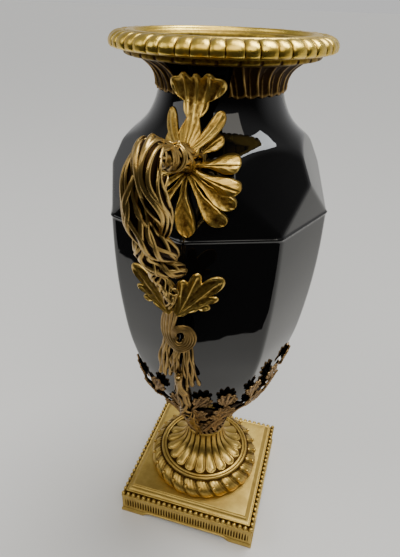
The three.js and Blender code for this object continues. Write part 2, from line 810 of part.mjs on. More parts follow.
function makeArch() {
  const wall = wallAt(rootZ);
  const low = wallAt(knotZ) + bundleRadius / 2;
  const points = archForm.map(([outward, rise]) => new THREE.Vector3(
    0, -mix(wall, handleReach, outward), rootZ + rise * (rise > 0 ? archRise : knotDrop),
  ));
  const [endShare, endLift] = archEnd;
  points.push(new THREE.Vector3(0, -low - endLift * bundleRadius, mix(rootZ, knotZ, endShare)));
  points.push(new THREE.Vector3(0, -low, knotZ));
  points.push(new THREE.Vector3(0, -low, knotZ - bundleRadius));
  const twist = [archRows, strandCount, bundleTurns, strandDepth];
  return bundle(points, archGirth.map((girth) => girth * bundleRadius), twist);
}

function makeHandle() {
  const casting = join([
    makeArch(), makeScroll(), makeUprightLeaf(), makeFan(), makeLowerLeaf(1), makeLowerLeaf(-1),
    ...tasselPlaces.map(makeTassel), makeTail(),
  ]);
  return cut(casting, [bodySpace(), ringSolid(cupRings(fitGap))]);
}

// Finishes
const finishes = {
  plinth: { color: 0x9c7a3c, metalness: 1, roughness: 0.38 },
  foot: { color: 0xa5803e, metalness: 1, roughness: 0.36 },
  cup: { color: 0x6b4e30, metalness: 1, roughness: 0.5 },
  rim: { color: 0xb8923a, metalness: 1, roughness: 0.28 },
  handle: { color: 0xab8440, metalness: 1, roughness: 0.36 },
  glaze: { color: 0x060606, metalness: 0, roughness: 0.05 },
};

const vase = new THREE.Group();
function add(name, geometry, finish, turn = 0) {
  const mesh = new THREE.Mesh(geometry, new THREE.MeshStandardMaterial(finishes[finish]));
  mesh.name = name;
  mesh.rotation.z = turn;
  vase.add(mesh);
}

add('plinth', makePlinth(), 'plinth');
add('foot', makeFoot(), 'foot');
add('leaf_cup', makeLeafCup(), 'cup');
add('ceramic_body', makeCeramicBody(), 'glaze');
add('rim_mount', makeRimMount(), 'rim');
const handle = makeHandle();
add('handle_front', handle, 'handle');
add('handle_back', handle, 'handle', Math.PI);

export default vase;
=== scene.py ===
"""Looks of a tall black glazed ceramic vase with gilt bronze mounts.

Shapes are worked out in millimetres as whole arrays and put into meshes in metres. The vase
stands on z = 0 with its axis on z; the front handle is on the -Y side.
"""

import math

import bpy
import numpy as np
from mathutils import Matrix, Vector


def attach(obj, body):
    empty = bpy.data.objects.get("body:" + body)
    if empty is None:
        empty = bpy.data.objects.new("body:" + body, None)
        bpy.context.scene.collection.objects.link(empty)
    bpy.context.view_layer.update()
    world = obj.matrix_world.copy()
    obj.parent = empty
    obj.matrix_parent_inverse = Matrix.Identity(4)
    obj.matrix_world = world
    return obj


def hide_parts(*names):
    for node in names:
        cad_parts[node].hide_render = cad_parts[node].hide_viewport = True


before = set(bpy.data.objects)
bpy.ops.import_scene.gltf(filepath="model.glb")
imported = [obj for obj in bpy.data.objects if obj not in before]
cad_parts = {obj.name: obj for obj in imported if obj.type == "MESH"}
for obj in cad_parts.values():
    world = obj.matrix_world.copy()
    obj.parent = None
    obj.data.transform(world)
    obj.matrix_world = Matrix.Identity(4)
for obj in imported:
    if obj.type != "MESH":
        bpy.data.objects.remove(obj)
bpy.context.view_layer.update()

# Sizes in millimetres
PLINTH_HALF, PLINTH_TOP = 69.2, 33.6
FOOT_BASE, FOOT_TOP = 33.9, 85.9
CUP_BASE, CUP_TOP, CUP_SWAY = 86.2, 193.0, 10.0
BODY_BASE, BODY_TOP = 103.5, 433.5
RING_Z, RING_RADIUS = 333.5, 85.6
NECK_RADIUS, BODY_WALL, BODY_FLOOR = 43.0, 6.0, 8.0
RIM_TOP, LIP_RADIUS = 450.0, 65.2
COLLAR_FLUTES = 32
TURN = 2 * np.pi
SECTOR = TURN / 8
HALF = SECTOR / 2
APOTHEM = math.cos(HALF)
PEAK_RISE = 29
PEAK_Z = RING_Z + PEAK_RISE
LEAN = math.tan(math.radians(1.2))
PEAK_RADIUS = RING_RADIUS * APOTHEM - LEAN * PEAK_RISE
KITE_SLOPE = (RING_RADIUS - PEAK_RADIUS * APOTHEM) / PEAK_RISE
BELLY = [
    (0, 0.265), (0.07, 0.335), (0.133, 0.435), (0.196, 0.549), (0.254, 0.661), (0.333, 0.745),
    (0.43, 0.832), (0.528, 0.902), (0.646, 0.952), (0.763, 0.985), (0.88, 1), (1, 1),
]
SHOULDER = [
    (0.25, 0.99), (0.325, 0.915), (0.405, 0.763), (0.49, 0.563), (0.565, 0.345), (0.63, 0.2),
    (0.72, 0.085), (0.81, 0.02), (0.9, 0), (1, 0),
]
# The quarter turns of the plinth as cosine and sine
QUARTERS = [(1, 0), (0, 1), (-1, 0), (0, -1)]
# A pair of gadrooned pillows: how many round the rim, and the shares of the wide and narrow one
GADROON_PAIRS, WIDE_SHARE, NARROW_SHARE = 24, 0.565, 0.435
# Steps of the meshes: sides of a stem, points over which its ends round off, a ball's open pole
STEM_SIDES, CAP_STEPS, POLE_GAP = 7, 2.5, 0.12


# Numbers and curves
def mix(a, b, t):
    return a + (b - a) * t


def smooth(a, b, x):
    """Rises from 0 at a to 1 at b as 3t^2 - 2t^3."""
    t = np.clip((x - a) / (b - a), 0, 1)
    return t * t * (3 - 2 * t)


def soft_min(a, b, width):
    """The lesser of two values, rounded off by up to a quarter of the width where they meet."""
    near = np.maximum(width - np.abs(a - b), 0) / width
    return np.minimum(a, b) - near * near * width / 4


def bump(x, middle, width):
    """A bell of height 1: e to the minus squared distance from the middle over the width."""
    return np.exp(-(((x - middle) / width) ** 2))


def through(stations, at):
    """A smooth line through (place, value) stations: cubics whose slope at each station is the
    slope between its two neighbours."""
    x, y = np.array(stations, float).T
    slope = np.gradient(y, x)
    slope[1:-1] = (y[2:] - y[:-2]) / (x[2:] - x[:-2])
    at = np.clip(at, x[0], x[-1])
    i = np.clip(np.searchsorted(x, at, side="right") - 1, 0, len(x) - 2)
    span = x[i + 1] - x[i]
    t = (at - x[i]) / span
    rise = mix(y[i], y[i + 1], t * t * (3 - 2 * t))
    return rise + t * (1 - t) ** 2 * span * slope[i] - t * t * (1 - t) * span * slope[i + 1]


def line_through(points, count):
    """Points at even shares of the chord length on a smooth line through the given points."""
    points = np.array(points, float)
    place = np.concatenate([[0], np.cumsum(np.linalg.norm(np.diff(points, axis=0), axis=1))])
    place = place / place[-1]
    at = np.linspace(0, 1, count)
    return np.stack([through(list(zip(place, points[:, k])), at) for k in range(points.shape[1])], 1)


def polar(radius, angle, z):
    """Radius times cosine and sine of the angle, at height z."""
    radius, angle, z = np.broadcast_arrays(radius, angle, z)
    return np.stack([radius * np.cos(angle), radius * np.sin(angle), z], -1)


def unit(vectors):
    return vectors / np.maximum(np.linalg.norm(vectors, axis=-1, keepdims=True), 1e-9)


# Closed skins from grids of points
def skin(grid, tone=0.5, wrap=False):
    """Joins each point of a grid to its neighbours. Each row is a closed loop. With wrap the last
    row joins the first; otherwise both ends close to the middle of their row. The faces are
    turned outwards by the sign of the enclosed volume."""
    rows, cols = grid.shape[:2]
    points = grid.reshape(-1, 3)
    tones = np.broadcast_to(tone, (rows, cols)).ravel()
    i = np.arange(rows if wrap else rows - 1)[:, None]
    j = np.arange(cols)[None, :]
    a, b = i * cols + j, i * cols + (j + 1) % cols
    c, d = ((i + 1) % rows) * cols + (j + 1) % cols, ((i + 1) % rows) * cols + j
    quads = np.stack(np.broadcast_arrays(a, b, c, d), -1).reshape(-1, 4)
    tris = np.empty((0, 3), int)
    if not wrap:
        j = np.arange(cols)
        k = (j + 1) % cols
        last = (rows - 1) * cols
        first_cap = np.stack([k, j, np.full(cols, rows * cols)], 1)
        last_cap = np.stack([last + j, last + k, np.full(cols, rows * cols + 1)], 1)
        tris = np.concatenate([first_cap, last_cap])
        points = np.concatenate([points, grid[0].mean(0)[None], grid[-1].mean(0)[None]])
        tones = np.concatenate([tones, tones[:1], tones[-1:]])
    corners = np.concatenate([quads[:, [0, 1, 2]], quads[:, [0, 2, 3]], tris])
    p, q, r = (points[corners[:, n]] for n in range(3))
    if np.einsum("ij,ij->i", p, np.cross(q, r)).sum() < 0:
        quads, tris = quads[:, ::-1], tris[:, ::-1]
    return points, quads, tris, tones


def turned(parts, angle):
    """The same skins turned about the vase's axis."""
    c, s = math.cos(angle), math.sin(angle)
    spin = np.array([[c, s, 0], [-s, c, 0], [0, 0, 1]])
    return [(points @ spin, quads, tris, tones) for points, quads, tris, tones in parts]


def piece(name, parts, finish, stands_for=None):
    """One object from many closed skins, smooth shaded, with the tone kept on its points."""
    starts = np.cumsum([0] + [len(part[0]) for part in parts])
    points = np.concatenate([part[0] for part in parts]) / 1000
    quads = np.concatenate([part[1] + start for part, start in zip(parts, starts)])
    tris = np.concatenate([part[2] + start for part, start in zip(parts, starts)])
    tones = np.concatenate([part[3] for part in parts])
    mesh = bpy.data.meshes.new(name)
    mesh.vertices.add(len(points))
    mesh.vertices.foreach_set("co", points.astype(np.float32).ravel())
    loops = np.concatenate([quads.ravel(), tris.ravel()]).astype(np.int32)
    mesh.loops.add(len(loops))
    mesh.loops.foreach_set("vertex_index", loops)
    first = np.concatenate([np.arange(len(quads)) * 4, len(quads) * 4 + np.arange(len(tris)) * 3])
    mesh.polygons.add(len(first))
    mesh.polygons.foreach_set("loop_start", first.astype(np.int32))
    mesh.update(calc_edges=True)
    mesh.polygons.foreach_set("use_smooth", np.ones(len(first), bool))
    mesh.attributes.new("tone", "FLOAT", "POINT").data.foreach_set("value", tones.astype(np.float32))
    mesh.materials.append(finish)
    thing = bpy.data.objects.new(name, mesh)
    bpy.context.scene.collection.objects.link(thing)
    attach(thing, "root")
    if stands_for:
        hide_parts(stands_for)


def tube(path, radius, sides=8, reference=(1, 0, 0), middle=None, tone=0.6):
    """A round tube: each point of the path carries a circle across it, whose radius falls off at
    both ends as the root of 1 - t^2. With a middle line, the tone rises with distance from it."""
    count = len(path)
    radius = np.broadcast_to(radius, (count,)).astype(float)
    share = np.linspace(0, 1, count)
    cap = np.clip(np.minimum(share, 1 - share) * count / CAP_STEPS, 0, 1)
    radius = radius * np.sqrt(np.clip(1 - (1 - cap) ** 2, 0.02, 1))
    across, up = frame_of(path, reference)
    phi = np.arange(sides) / sides * TURN
    ring = np.cos(phi)[None, :, None] * across[:, None] + np.sin(phi)[None, :, None] * up[:, None]
    grid = path[:, None] + radius[:, None, None] * ring
    if middle is not None:
        away = np.linalg.norm(grid - middle[:, None], axis=-1)
        reach = np.linalg.norm(path - middle, axis=-1)[:, None]
        tone = smooth(-0.15, 0.95, (away - reach) / np.maximum(radius[:, None], 0.1))
    return skin(grid, tone)


def frame_of(path, reference=(1, 0, 0)):
    """Two directions across a path at each of its points, the first nearest to the reference."""
    along = unit(np.gradient(path, axis=0))
    reference = np.array(reference, float)
    across = unit(reference - along * (along @ reference)[:, None])
    return across, np.cross(along, across)


def stems(path, girth, count, turns, thickness, seed, wander):
    """Stems twisted round a path. Stem k sits at angle k/count + turns * t round it, at the girth
    less its own thickness, and wanders in angle and distance by slow sines."""
    rng = np.random.default_rng(seed)
    t = np.linspace(0, 1, len(path))
    across, up = frame_of(path)
    parts = []
    for k in range(count):
        a, b, c, d = rng.uniform(0, TURN, 4)
        size = thickness * (1 + 0.22 * np.sin(TURN * 1.7 * t + a)) * rng.uniform(0.85, 1.15)
        angle = TURN * (k / count + turns * t) + wander * np.sin(TURN * 2.3 * t + b)
        away = (girth - size) * (1 + 0.16 * wander * np.sin(TURN * 3.1 * t + c) - 0.02 * np.sin(d))
        at = path + away[:, None] * (np.cos(angle)[:, None] * across + np.sin(angle)[:, None] * up)
        parts.append(tube(at, size, STEM_SIDES, middle=path))
    return parts


def ball(centre, radius, rows, cols, tone=0.95):
    """A sphere: radius times sine of the row's angle round it, and its cosine up."""
    lat = np.linspace(POLE_GAP, np.pi - POLE_GAP, rows)[:, None]
    lon = np.arange(cols)[None] / cols * TURN
    grid = polar(radius * np.sin(lat), lon, radius * np.cos(lat)) + np.array(centre, float)
    return skin(grid, tone)


def beads(centres, radius, rows, cols):
    return [ball(centre, radius, rows, cols) for centre in centres]


def dense_profile(stations, steps):
    """Columns of a profile, one for each measure in its stations, at even steps along them."""
    stations = np.array(stations, float)
    place = np.linspace(0, len(stations) - 1, steps)
    return [np.interp(place, np.arange(len(stations)), column)[:, None] for column in stations.T]


def out_of(radius, level):
    """Radius and height parts of the unit direction out of a turned profile that runs up its
    outside. Where the profile runs down its outside, they point inwards."""
    slope_r = np.gradient(radius[:, 0])[:, None]
    slope_z = np.gradient(level[:, 0])[:, None]
    long = np.hypot(slope_r, slope_z) + 1e-9
    return slope_z / long, -slope_r / long


# Ceramic body
def body_radius(angle, z):
    """Radius of the ceramic at an angle and level. Below the ring it goes from round to an eight
    sided belly; above it the least of upright triangle, two kites and round shoulder."""
    angle, z = np.broadcast_arrays(angle, z)
    edge = np.abs(angle - SECTOR * np.round(angle / SECTOR))
    near, far = np.cos(HALF - edge), np.cos(HALF + edge)
    share = (z - BODY_BASE) / (RING_Z - BODY_BASE)
    eight = soft_min(APOTHEM / near, APOTHEM / far, 0.02)
    lower = RING_RADIUS * through(BELLY, share) * mix(1, eight, smooth(0.12, 0.5, share))
    rise = z - RING_Z
    upright = (RING_RADIUS * APOTHEM - LEAN * rise) / near
    kite = (RING_RADIUS - KITE_SLOPE * rise) / np.cos(edge)
    next_kite = (RING_RADIUS - KITE_SLOPE * rise) / np.cos(SECTOR - edge)
    level = rise / (BODY_TOP - RING_Z)
    shoulder = NECK_RADIUS + (RING_RADIUS - NECK_RADIUS) * through(SHOULDER, level)
    shoulder = shoulder + 8 * (1 - smooth(0.0, 0.3, level))
    facets = soft_min(soft_min(kite, next_kite, 0.9), upright, 0.9)
    return np.where(z <= RING_Z, lower, soft_min(facets, shoulder, 1.6))


def on_wall(x, z, lift):
    """The point of the front wall x across and z up, standing proud by lift: y is minus the root
    of radius^2 - x^2, found in a few rounds because the radius depends on the angle."""
    x, z, lift = np.broadcast_arrays(np.asarray(x, float), z, lift)
    y = -np.full(x.shape, 80.0)
    for _ in range(6):
        radius = body_radius(np.arctan2(y, x), np.maximum(z, BODY_BASE)) + lift
        y = -np.sqrt(np.maximum(1, radius * radius - x * x))
    return np.stack([x, y, z], -1)


def ceramic_skin():
    """Rows from the base up the outside, over the lip and down the inside to the floor."""
    cols = 256
    angle = np.arange(cols)[None] / cols * TURN
    z = np.concatenate([
        np.linspace(BODY_BASE + 0.6, RING_Z - 3, 52), np.linspace(RING_Z - 2.6, RING_Z + 2.6, 12),
        np.linspace(RING_Z + 3, 389, 38), np.linspace(390, BODY_TOP - 1, 16),
    ])[:, None]
    radius = body_radius(angle, z) + 0.9 * bump(z, RING_Z, 1.1)
    outer = polar(radius, angle, z)
    base = polar(body_radius(angle, BODY_BASE) - 0.6, angle, BODY_BASE)
    lip = [polar(NECK_RADIUS + out, angle, BODY_TOP - down) for out, down in
           [(-0.1, 0.5), (-0.6, 0.1), (-1.4, 0), (-4.6, 0), (-5.5, 0.2), (-5.9, 0.8)]]
    inner_z = np.linspace(BODY_TOP - 2, BODY_BASE + BODY_FLOOR, 18)[:, None]
    level = (inner_z - RING_Z) / (BODY_TOP - RING_Z)
    shoulder = NECK_RADIUS + (RING_RADIUS - NECK_RADIUS) * through(SHOULDER, level)
    round_in = np.where(inner_z > PEAK_Z, shoulder, np.inf)
    inner_radius = np.minimum(body_radius(HALF, inner_z), round_in) - BODY_WALL
    inner = polar(np.broadcast_to(inner_radius, (len(inner_z), cols)), angle, inner_z)
    grid = np.concatenate([base, outer, *[row.reshape(1, cols, 3) for row in lip], inner])
    return [skin(grid, 0.5)]


# Plinth
def square_band(profile, columns, carve):
    """A moulding carried round a square. The profile gives half the side and the level at each
    row; carve(u, row) sets a point in from its side, where u runs from -1 to 1 along it."""
    half, level, tone = np.array(profile, float).T
    u = np.linspace(-1, 1, columns, endpoint=False)
    inward, lift, shade = carve(u[None], np.arange(len(half))[:, None])
    x = half[:, None] * u[None]
    y = -(half[:, None] - inward)
    z = level[:, None] + lift
    sides = []
    for c, s in QUARTERS:
        sides.append(np.stack([c * x - s * y, s * x + c * y, z + 0 * x], -1))
    shade = np.tile(shade * tone[:, None], (1, 4))
    return np.concatenate(sides, 1), shade


def plinth_skins():
    """Casting with plate, hollow moulding, bead shelf, fluted frieze, base band and apron."""
    half = PLINTH_HALF
    profile = [
        (58.0, 26.5, 0.2), (58.0, 27.6, 0.2), (62.5, 27.6, 0.2), (62.6, 6, 0.2), (62.6, 1.6, 0.2),
        (half - 1.6, 0.0, 0.3), (half - 0.5, 0.0, 0.5), (half, 0.5, 0.9), (half, 2.2, 1.0),
        (half, 3.6, 0.95), (half - 0.3, 4.3, 0.9), (half - 1.0, 4.7, 0.5), (half - 1.3, 5.4, 0.4),
        (half - 1.0, 6.2, 0.75), (half - 1.0, 7.0, 0.8), (half - 0.9, 7.6, 0.8), (half - 0.9, 8.6, 0.8),
        (half - 1.0, 9.0, 0.7), (half - 1.0, 15, 0.7), (half - 1.0, 21.2, 0.7), (half - 1.0, 21.6, 0.8),
        (half - 1.0, 23.2, 0.85), (half - 0.5, 23.7, 0.8), (half - 0.5, 24.5, 0.85), (half - 1.1, 24.8, 0.4),
        (half - 3.9, 25.0, 0.15), (half - 4.2, 26.5, 0.15), (half - 4.3, 28.6, 0.3), (half - 4.6, 29.1, 0.9),
        (half - 5.2, 29.3, 0.9), (half - 5.8, 28.9, 0.5), (63.1, 28.9, 0.7), (62.2, 29.2, 0.75),
        (61.2, 29.9, 0.8), (60.4, 31.0, 0.8), (60.0, 31.9, 0.65), (59.2, 32.1, 0.55), (59.0, 32.3, 0.7),
        (59.0, 33.1, 1.0), (58.6, 33.55, 1.0), (58.0, PLINTH_TOP, 0.85), (50, PLINTH_TOP, 0.7),
        (30, PLINTH_TOP, 0.7), (2, PLINTH_TOP, 0.7),
    ]
    flute_rows = (16, 17, 18)
    flutes, flute_depth = 46, 1.2
    apron_top, apron_rise = 7.6, 5.4
    levels = np.array([row[1] for row in profile], float)[:, None]

    def carve(u, row):
        """Flutes are cut in as the root of a clipped cosine squared, between plain ends. Below
        the apron's top the wall is squeezed up between the feet, along an S and a small step."""
        place = np.abs(u)
        field = smooth(0.958, 0.95, place)
        wave = np.clip(1.25 * np.cos(np.pi * (u / 0.955) * flutes / 2) ** 2 - 0.25, 0, 1)
        cut = np.zeros(row.shape) + np.isin(row, flute_rows)
        inward = cut * field * flute_depth * np.sqrt(wave)
        arch = 0.86 * smooth(0.68, 0.575, place) + 0.14 * smooth(0.56, 0.545, place)
        wall = (row >= 3) & (levels < apron_top)
        lift = np.where(wall, apron_rise * arch * (1 - levels / apron_top), 0)
        shade = 1 - 0.95 * cut * field * wave ** 0.6
        return inward, lift, shade

    grid, tone = square_band(profile, 386, carve)
    parts = [skin(grid, tone)]
    per_side, bead_radius, bead_level = 24, 2.1, 26.9
    reach = half - 2.25
    pitch = 2 * reach / per_side
    along = -reach + pitch * np.arange(per_side)
    for c, s in QUARTERS:
        centres = [(c * x + s * reach, s * x - c * reach, bead_level) for x in along]
        parts += beads(centres, bead_radius, 6, 10)
    return parts


# Foot
def foot_skins():
    """Round foot: a torus of slanted, veined pillows with a bead each, a thin fillet and a waisted
    stem with round-ended tongues. One profile is turned about the axis, with the carving added
    along its outward direction."""
    pillows, tongues = 24, 20
    cols = 528
    angle = np.arange(cols)[None] / cols * TURN
    profile = [
        (0.5, FOOT_BASE), (40, FOOT_BASE), (52.6, FOOT_BASE),
        (54.2, 34.2), (55.2, 35.4), (55.9, 37.2), (56.2, 39.4),
        (56.0, 41.6), (55.3, 43.8), (54.1, 45.8), (52.6, 47.4), (50.9, 48.7), (49.1, 49.6), (47.6, 50.1),
        (46.6, 50.2), (46.2, 50.4), (46.1, 51.6), (45.6, 52.3), (44.9, 52.6), (44.1, 52.5), (43.6, 52.0),
        (43.1, 51.9), (42.4, 52.3), (41.6, 52.6), (40.6, 52.8), (39.2, 53.1), (37.6, 53.5), (36, 54.0),
        (34.2, 54.7), (32.2, 55.6), (30.2, 56.7), (28.2, 58.0), (26.4, 59.4), (24.8, 61.0), (23.3, 62.9),
        (22.0, 65.0), (20.9, 67.3), (20.0, 69.8), (19.3, 72.4), (18.8, 75.2), (18.4, 78.0), (18.2, 80.6),
        (18.2, 82.6), (18.6, 83.2), (19.4, 83.6), (19.8, 84.3), (19.6, 85.2),
        (18.8, FOOT_TOP), (0.5, FOOT_TOP),
    ]
    radius, level = dense_profile(profile, 108)
    out_r, out_z = out_of(radius, level)
    torus = smooth(34.2, 36.5, level) * smooth(45.9, 47.5, radius) * (level < 50.3)
    up_share = np.clip((level - 34) / 16, 0, 1)
    swirl = angle + 0.17 * up_share ** 1.3
    cell = (swirl * pillows / TURN) % 1
    leaf = np.sin(np.pi * cell ** 0.62) ** 0.55 * (1 - 0.25 * cell)
    cup_edge = np.clip(1.15 - 1.5 * (up_share - 0.62) * (1 - np.sin(np.pi * cell)), 0, 1)
    veins = 0.5 + 0.5 * np.cos(TURN * 4.5 * cell + 3.0 * up_share)
    leaf = leaf * cup_edge
    carved = torus * (2.3 * leaf - 1.7 + 0.3 * veins * leaf)
    tone = 0.78 + 0 * angle - torus * 0.5 * (1 - leaf) ** 1.3 - torus * 0.2 * veins
    above = (level > 52.2) | (radius < 42.5)
    stem = above * (radius < 41.2) * (level > 40) * smooth(85.0, 82.4, level)
    tongue = (angle * tongues / TURN) % 1 * 2 - 1
    end = np.clip((radius - 35.2) / 5.0, 0, 1.6)
    inside = np.hypot(tongue / 0.96, end)
    pillow = np.sqrt(np.clip(1 - (inside / 0.74) ** 2, 0, 1))
    outline = bump(inside, 0.87, 0.055)
    seam = smooth(0.92, 1.02, inside)
    fade = 0.35 + 0.65 * smooth(18, 34, radius)
    carved = carved + stem * fade * (1.5 * pillow + 0.95 * outline - 0.7 * seam)
    tone = tone - stem * (0.62 * seam + 0.5 * bump(inside, 0.77, 0.05) - 0.2 * outline)
    tone = tone - 0.5 * bump(level, 50.3, 0.35) * (radius > 45.5) - 0.4 * bump(radius, 43.3, 0.6)
    tone = tone - 0.5 * smooth(30, 19, radius) * (np.abs(tongue) > 0.7) * (level < 83)
    grid = polar(radius + carved * out_r, angle, level + carved * out_z)
    parts = [skin(grid, np.clip(tone, 0, 1))]
    bead_angle = np.arange(pillows) / pillows * TURN - 0.07
    centres = polar(54.4, bead_angle, 46.6)
    parts += beads(centres, 2.0, 9, 14)
    return parts


# Leaves
def segment_distance(u, v, start, end):
    """Distance in the flat from points to the segment between two ends."""
    start, end = np.array(start, float), np.array(end, float)
    along = end - start
    share = np.clip(((u - start[0]) * along[0] + (v - start[1]) * along[1]) / (along @ along), 0, 1)
    return np.hypot(u - start[0] - share * along[0], v - start[1] - share * along[1])


def carved_leaf(place, centre, lobes, stalk, least, thickness, rows=15, cols=150, vein=1.0, cup=0.0):
    """One plate whose outline is the soft maximum of lobes about a centre, each given by its
    direction, length and spread; a lobe reaches about length * sqrt(1 - (turn / spread)^2). Each
    has a rib from the stalk's foot, finer veins fan out from there, and the outline carries a
    raised edge. Its face is cupped by cup."""
    angle = np.arange(cols)[None] / cols * TURN
    total = np.full(angle.shape, float(least)) ** 9
    for direction, length, spread in lobes:
        turn = np.abs((angle - math.radians(direction) + np.pi) % TURN - np.pi)
        share = np.clip(turn / math.radians(spread), 0, 1)
        total = total + (length * np.sqrt(1 - 0.985 * share ** 2) * (share < 1)) ** 9
    reach = total ** (1 / 9)
    share = np.concatenate([np.linspace(0.04, 0.86, rows - 4), [0.92, 0.965, 0.99, 1.0]])[:, None]
    u, v = centre[0] + reach * share * np.cos(angle), centre[1] + reach * share * np.sin(angle)
    rib = np.zeros(u.shape)
    for direction, length, _ in lobes:
        end = (centre[0] + 0.9 * length * math.cos(math.radians(direction)),
               centre[1] + 0.9 * length * math.sin(math.radians(direction)))
        rib = np.maximum(rib, bump(segment_distance(u, v, stalk, end), 0, 0.75 * vein))
    from_stalk = np.hypot(u - stalk[0], v - stalk[1])
    around = np.arctan2(v - stalk[1], u - stalk[0])
    fine = 0.5 + 0.5 * np.cos(around * 34 + 0.3 * from_stalk)
    rim = bump(share, 0.93, 0.05)
    body = np.sqrt(np.clip(1 - share ** 10, 0, 1))
    relief = 0.5 * rib + 0.42 * rim + 0.1 * fine * (share < 0.86)
    lift = thickness * (0.25 + 0.75 * body) + thickness * relief
    hollow = 0.35 * thickness * smooth(0.35, 0.8, share) * (1 - rib) * (share < 0.9)
    lift = lift + cup * (reach * share / reach.max()) ** 2 - hollow
    tone = np.clip(0.34 + 0.6 * rib + 0.6 * rim + 0.16 * fine, 0, 1)
    back_share = share[::-2]
    back_u = centre[0] + reach * back_share * np.cos(angle)
    back_v = centre[1] + reach * back_share * np.sin(angle)
    back = place(back_u, back_v, cup * (reach * back_share / reach.max()) ** 2 + 0 * back_u)
    front = place(u, v, lift)
    tones = np.concatenate([tone, np.full(back_u.shape, 0.15)])
    return skin(np.concatenate([front, back]), tones)


def lobe(place, start, tip, width, thickness, form, shape, rows, half, bend):
    """A blade from a start to a tip in flat coordinates, put in space by place(u, v, lift). Its
    half width follows shape(s), its face stands at thickness * (1 - v^2)^0.3 plus what its form
    adds (a ridge, a gutter or a round), and its middle line bows by bend * 4 * s * (1 - s)."""
    s = np.linspace(0, 1, rows)[:, None]
    start, tip = np.array(start, float), np.array(tip, float)
    along = tip[:2] - start[:2]
    length = np.linalg.norm(along)
    along = along / length
    side = np.array([-along[1], along[0]])
    v = np.linspace(-1, 1, 2 * half + 1)
    ring_v = np.concatenate([v, v[::-1][1:-1] * 0.98])[None]
    front = np.concatenate([np.ones(2 * half + 1), np.zeros(2 * half - 1)])[None]
    wide = width * through(shape, s)
    across = ring_v * wide
    centre = start[None, :2] + along * s * length + side * bend * 4 * s * (1 - s)
    flat = centre[:, None] + across[..., None] * side
    edge = np.abs(ring_v)
    relief = thickness * (1 - edge ** 2) ** 0.3
    if form == "ridge":
        ridges = 0.55 * bump(ring_v, 0, 0.16) + 0.35 * bump(edge, 0.78, 0.16)
        relief = relief + thickness * (ridges - 0.3)
        tone = 0.45 + 0.5 * bump(ring_v, 0, 0.2) + 0.45 * bump(edge, 0.85, 0.2)
    elif form == "gutter":
        relief = relief + thickness * (edge ** 2 * (edge < 0.98) - 0.55)
        tone = 0.35 + 0.65 * edge ** 2
    else:
        relief = relief + thickness * (0.5 * (1 - edge) - 0.45 * bump(ring_v, 0, 0.1))
        tone = 0.85 - 0.6 * bump(ring_v, 0, 0.14) + 0 * edge
    relief = relief * np.sin(np.pi * np.clip(0.12 + 0.88 * s, 0, 0.9)) ** 0.25
    lift = mix(start[2], tip[2], s) + front * relief
    veins = 0.14 * np.cos(TURN * (5 * s - 1.6 * edge)) * (edge > 0.15) * (edge < 0.9) * front
    points = place(flat[..., 0], flat[..., 1], lift + veins * min(1.5, thickness))
    return skin(points, np.clip(tone * front + 0.25 * (1 - front) + 0 * s, 0, 1))


# Leaf cup
def cup_top(angle):
    return CUP_TOP + CUP_SWAY * np.cos(2 * angle)


def cup_wall(turn, z, lift):
    """A point of the bowl at an angle and level; below the ceramic the wall narrows to the rope."""
    form = body_radius(turn, np.maximum(z, BODY_BASE)) + 0.5
    stem = 19.0
    wall = np.where(z < BODY_BASE, mix(stem, form, smooth(92.0, BODY_BASE, z)), form)
    return polar(wall + lift, turn, z)


